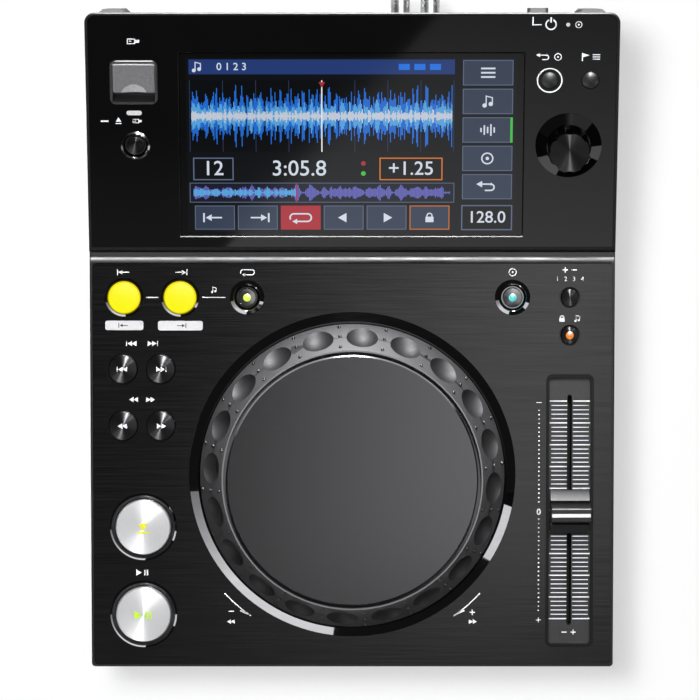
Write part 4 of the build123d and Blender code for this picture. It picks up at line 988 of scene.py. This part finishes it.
window = console @ Matrix.Translation((*WINDOW, GLASS))
art = []
wave_art = []


def paint(shapes, colour, level):
    art.append((shapes, colour, level))


def button(x, y, width, height, symbol, size, edge=EDGE, fill=SLATE):
    paint([bar(x, y, width, height)], edge, 1)
    paint([bar(x, y, width - 0.7, height - 0.7)], fill, 2)
    paint(moved(symbol, x, y, size), PALE, 3)


def bars(start, count, spacing, height, rate, level, colour):
    """Row of bars that follow noise; spacing is their pitch and width."""
    place = window @ Matrix.Translation((*start, LEVEL * (level + 1)))
    pitch, width = spacing
    sizes = {"pitch": pitch * MM, "width": width * MM, "height": height * MM}
    wave_art.append((grown(waves, screen_glow, place, count=count, rate=rate, **sizes), colour))


paint([bar(0, 0, *PICTURE)], NIGHT, 0)
paint([bar(MAIN_X, TITLE_Y, MAIN_W, 6.4)], TITLE, 1)
paint(moved(mark_note, -64.5, TITLE_Y, 4.0) + [numeral("0 1 2 3", -50, TITLE_Y, 3.2, 0.03)], PALE, 3)
paint([bar(x, TITLE_Y, 4.6, 2.6) for x in (22.0, 28.5, 35.0)], BLUE, 3)
for i, symbol in enumerate((mark_list, mark_note, mark_wave, mark_disc, mark_return)):
    button(MENU_X, MENU_TOP - MENU_PITCH * i, MENU_W, MENU_H, symbol, 4.6)
paint([bar(67.0, MENU_TOP - 2 * MENU_PITCH, 1.0, MENU_H)], GREEN, 4)
paint([bar(MAIN_X, WAVE_Y, MAIN_W, WAVE_H)], WELL, 1)
paint([bar(MAIN_X, WAVE_Y, MAIN_W, 0.25)], DEEP, 2)
paint([bar(MAIN_X + GRID_PITCH * i, WAVE_Y, 0.3, WAVE_H) for i in range(-4, 5) if i], GRID, 2)
paint([numeral("12", LOOP_SIGN_X, FIGURE_Y, 6.4, 0.04)], PALE, 3)
paint([numeral("3:05.8", CLOCK_X, FIGURE_Y, 6.8, 0.04)], PALE, 3)
paint([numeral("+1.25", PACE_X, FIGURE_Y, 6.0, 0.04)], PALE, 3)
paint([frame_line(LOOP_SIGN_X, FIGURE_Y, 16.5, FIGURE_H, 0.5)], EDGE, 3)
paint([frame_line(PACE_X, FIGURE_Y, 26.0, FIGURE_H, 0.5)], ORANGE, 3)
paint([spot(LIGHT_X, -8.0, 1.0)], RED, 3)
paint([spot(LIGHT_X, -12.4, 1.0)], GREEN, 3)
paint([bar(MAIN_X, STRIP_Y, MAIN_W, STRIP_H)], DUSK, 1)
paint([frame_line(MAIN_X, STRIP_Y, MAIN_W, STRIP_H, 0.3)], EDGE, 4)
pads = (
    (mark_in, SLATE, EDGE),
    (mark_out, SLATE, EDGE),
    (mark_loop, RED, RED),
    (back_triangle, SLATE, EDGE),
    (triangle, SLATE, EDGE),
    (mark_lock, SLATE, ORANGE),
)
for i, (symbol, fill, edge) in enumerate(pads):
    button(PAD_START + PAD_PITCH * i, PAD_Y, PAD_W, PAD_H, symbol, 4.0, edge, fill)
paint([numeral("128.0", MENU_X, PAD_Y, 5.2, 0.04)], PALE, 3)
paint([frame_line(MENU_X, PAD_Y, MENU_W, PAD_H, 0.5)], EDGE, 3)
bars((-66.8, WAVE_Y), 260, FINE_BARS, 27.0, 0.31, 3, BLUE)
bars((-66.8, WAVE_Y), 260, FINE_BARS, 15.0, 0.23, 4, SKY)
bars((-66.8, WAVE_Y), 260, FINE_BARS, 6.0, 0.41, 5, PALE)
bars((-66.2, STRIP_Y), 200, WIDE_BARS, 7.0, 0.17, 2, VIOLET)
bars((-66.2, STRIP_Y), 80, WIDE_BARS, 4.6, 0.27, 3, SKY)
paint([bar(MAIN_X, WAVE_Y, 0.5, WAVE_H)], NEEDLE, 7)
paint([arrow_head(MAIN_X, 26.6, 1.6, 270), bar(-23.2, STRIP_Y, 0.5, STRIP_H)], RED, 8)

coloured = [(laid(shapes, window, LEVEL * (level + 1)), colour) for shapes, colour, level in art]
coloured += [(parts_of(mesh), colour) for mesh, colour in wave_art]
points, faces = stacked([part for part, colour in coloured])
colours = [colour for part, colour in coloured for side in part[1]]
screen = bpy.data.meshes.new("screen_picture")
screen.from_pydata(points, [], faces)
face_up(screen, console_up)
ink = screen.attributes.new("ink", "FLOAT_COLOR", "FACE")
for value, colour in zip(ink.data, colours):
    value.color = (*colour, 1)
piece("screen_picture", screen, screen_glow, "chassis")


# Cards and lamps: places and sizes in metres
def card(name, points, faces, strength):
    """Bright or dark sheet seen only in reflections."""
    mesh = bpy.data.meshes.new(name)
    mesh.from_pydata(points, [], faces)
    mat = bpy.data.materials.new(name)
    mat.use_nodes = True
    mat.node_tree.nodes.clear()
    glow = add(mat, "ShaderNodeEmission")
    glow.inputs["Strength"].default_value = strength
    end = add(mat, "ShaderNodeOutputMaterial")
    link(mat, glow.outputs["Emission"], end.inputs["Surface"])
    mesh.materials.append(mat)
    made = bpy.data.objects.new(name, mesh)
    bpy.context.collection.objects.link(made)
    made.visible_diffuse = False
    made.visible_shadow = False
    made.visible_camera = False
    return mat


def oblong(low, high):
    """Corners of a rectangle between two of them."""
    return [low, (high[0], low[1]), high, (low[0], high[1])]


def overhead(name, corners, strength, height):
    """Level card high over the object."""
    return card(name, [(x, y, height) for x, y in corners], [tuple(range(len(corners)))], strength)


def upright(name, start, end, low, high, strength, reach=0.9, steps=24):
    """Curved card standing round the jog wheel, between two heights in degrees."""
    points = []
    for lift in (low, high):
        height = DECK_Z * MM + reach * math.tan(math.radians(lift))
        points += [(x, y, height) for x, y in arc(0, JOG_Y * MM, reach, start, end, steps)]
    count = steps + 1
    faces = [(i, i + 1, count + i + 1, count + i) for i in range(steps)]
    return card(name, points, faces, strength)


def ramp_card(mat, way, start, end, low, high):
    """Lets a card's brightness run from low to high along a direction."""
    strength = mat.node_tree.nodes["Emission"].inputs["Strength"]
    times = add(mat, "ShaderNodeMath", operation="MULTIPLY")
    times.inputs[0].default_value = strength.default_value
    if strength.is_linked:
        link(mat, strength.links[0].from_socket, times.inputs[0])
    link(mat, run_along(mat, way, start, end, low, high), times.inputs[1])
    link(mat, times.outputs["Value"], strength)


def fade_card(mat, way, start, end, level):
    """Lets a card give way to a plain level towards the start of a direction."""
    strength = mat.node_tree.nodes["Emission"].inputs["Strength"]
    mix = add(mat, "ShaderNodeMix")
    mix.inputs["A"].default_value = level
    link(mat, strength.links[0].from_socket, mix.inputs["B"])
    link(mat, run_along(mat, way, start, end, 0, 1), mix.inputs["Factor"])
    link(mat, mix.outputs["Result"], strength)


def lamp(name, place, aim, width, depth, watts):
    data = bpy.data.lights.new(name, "AREA")
    data.shape = "RECTANGLE"
    data.size = width
    data.size_y = depth
    data.energy = watts
    made = bpy.data.objects.new(name, data)
    bpy.context.collection.objects.link(made)
    made.location = place
    made.rotation_euler = (Vector(aim) - Vector(place)).to_track_quat("-Z", "Y").to_euler()
    return made


# The fascia mirrors a dark card with a slanting bright one below it
CARD_Z = 2.0
DARK_CARD_Z = 2.02
fascia_dark = overhead("fascia_dark", oblong((-1.4, -1.6), (1.4, -0.64)), 1.0, DARK_CARD_Z)
ramp_card(fascia_dark, ALONG_Y, -1.146, -1.03, 0.18, 0.08)
bright_edge = [
    (-0.2425, -1.3),
    (1.0, -1.3),
    (1.0, -0.7),
    (0.2245, -0.7),
    (0.076, -0.898),
    (0.055, -0.926),
    (-0.12, -1.146),
]
fascia_bright = overhead("fascia_bright", bright_edge, 0.8, CARD_Z)
ramp_card(fascia_bright, ALONG_Y, -1.15, -0.9, 1.25, 0.5)
ramp_card(fascia_bright, ALONG_X, -0.12, 0.25, 1.1, 0.9)

# The deck mirrors a card that is brighter to the right and dull at the front
deck_card = overhead("deck_card", oblong((-1.4, -0.63), (1.4, 1.2)), 1.0, CARD_Z)
ramp_card(deck_card, (1, -0.28, 0), -0.07, 0.275, 0.15, 2.6)
fade_card(deck_card, ALONG_Y, -0.43, -0.385, 0.32)
ramp_card(deck_card, (1, -0.2, 0), 0.235, 0.29, 1.0, 0.5)

# Cards round the jog wheel, for its bezel, the key rings and the platter's rim
left_card = upright("left_card", 193, 264, 14, 34, 4.0)
ramp_card(left_card, ALONG_X, -0.87, -0.62, 0.3, 1.0)
upright("right_card", 322, 343, 16, 33, 3.8)
upright("front_card", 230, 310, 4, 13, 0.7)
upright("rim_card", 30, 165, 2.5, 9, 5.0)

# One lamp lights the object, and the strips give the metal its highlights
top_lamp = lamp("top_lamp", (-0.27, 0.34, 1.95), (0, 0, 0.05), 0.36, 0.36, 47)
top_lamp.visible_glossy = False
STRIP_AIM = (0, -0.06, 0.08)
strips = (
    ("rear_strip", (0.0, 1.45, 0.68), 0.3, 0.25, 50),
    ("low_strip", (0.0, 1.45, 0.31), 0.3, 0.12, 75),
    ("side_strip", (0.75, 0.7, 1.5), 0.06, 0.4, 20),
    ("high_strip", (0.15, 0.87, 1.7), 0.09, 0.6, 135),
)
for name, place, width, depth, watts in strips:
    strip = lamp(name, place, STRIP_AIM, width, depth, watts)
    strip.visible_diffuse = False

# White floor that keeps the shadow
FLOOR = 4.0
FLOOR_GLOW = 0.6
floor_corners = [(x, y, 0) for x, y in oblong((-FLOOR, -FLOOR), (FLOOR, FLOOR))]
floor_mesh = bpy.data.meshes.new("floor")
floor_mesh.from_pydata(floor_corners, [], [(0, 1, 2, 3)])
floor = bpy.data.objects.new("floor", floor_mesh)
bpy.context.collection.objects.link(floor)
paper = bpy.data.materials.new("paper")
paper.use_nodes = True
paper.node_tree.nodes.clear()
matt = add(paper, "ShaderNodeBsdfDiffuse")
matt.inputs["Color"].default_value = (0.85, 0.85, 0.85, 1)
glow = add(paper, "ShaderNodeEmission")
ray = add(paper, "ShaderNodeLightPath")
share = add(paper, "ShaderNodeMath", operation="MULTIPLY")
share.inputs[1].default_value = FLOOR_GLOW
mix = add(paper, "ShaderNodeMixShader")
end = add(paper, "ShaderNodeOutputMaterial")
link(paper, ray.outputs["Is Camera Ray"], share.inputs[0])
link(paper, share.outputs["Value"], mix.inputs["Fac"])
link(paper, matt.outputs["BSDF"], mix.inputs[1])
link(paper, glow.outputs["Emission"], mix.inputs[2])
link(paper, mix.outputs["Shader"], end.inputs["Surface"])
floor_mesh.materials.append(paper)

# Room: white to the eye, dim on the object and dimmer in reflections
ROOM_DIM = 0.09
ROOM_MIRRORED = 0.04
scene = bpy.context.scene
scene.view_settings.view_transform = "Standard"
world = bpy.data.worlds.new("room")
scene.world = world
world.use_nodes = True
world.node_tree.nodes.clear()
ray = add(world, "ShaderNodeLightPath")
room = span_of(world, ray.outputs["Is Glossy Ray"], 0, 1, ROOM_DIM, ROOM_MIRRORED)
level = add(world, "ShaderNodeMapRange")
sky = add(world, "ShaderNodeBackground")
end = add(world, "ShaderNodeOutputWorld")
link(world, room, level.inputs["To Min"])
link(world, ray.outputs["Is Camera Ray"], level.inputs["Value"])
link(world, level.outputs["Result"], sky.inputs["Strength"])
link(world, sky.outputs["Background"], end.inputs["Surface"])

# Camera high over the middle, looking almost straight down
EYE = Vector((0, 0.1495, 1.8))
AIM = Vector((0, -0.00491, 0.090))
LENS = 209.8
SENSOR = 36
SHIFT = -0.0033
view = bpy.data.cameras.new("camera")
view.lens = LENS
view.sensor_width = SENSOR
view.shift_x = SHIFT
camera = bpy.data.objects.new("camera", view)
bpy.context.collection.objects.link(camera)
camera.location = EYE
camera.rotation_euler = (-math.atan2(EYE.y - AIM.y, EYE.z - AIM.z), 0, 0)
scene.camera = camera

bpy.context.view_layer.update()
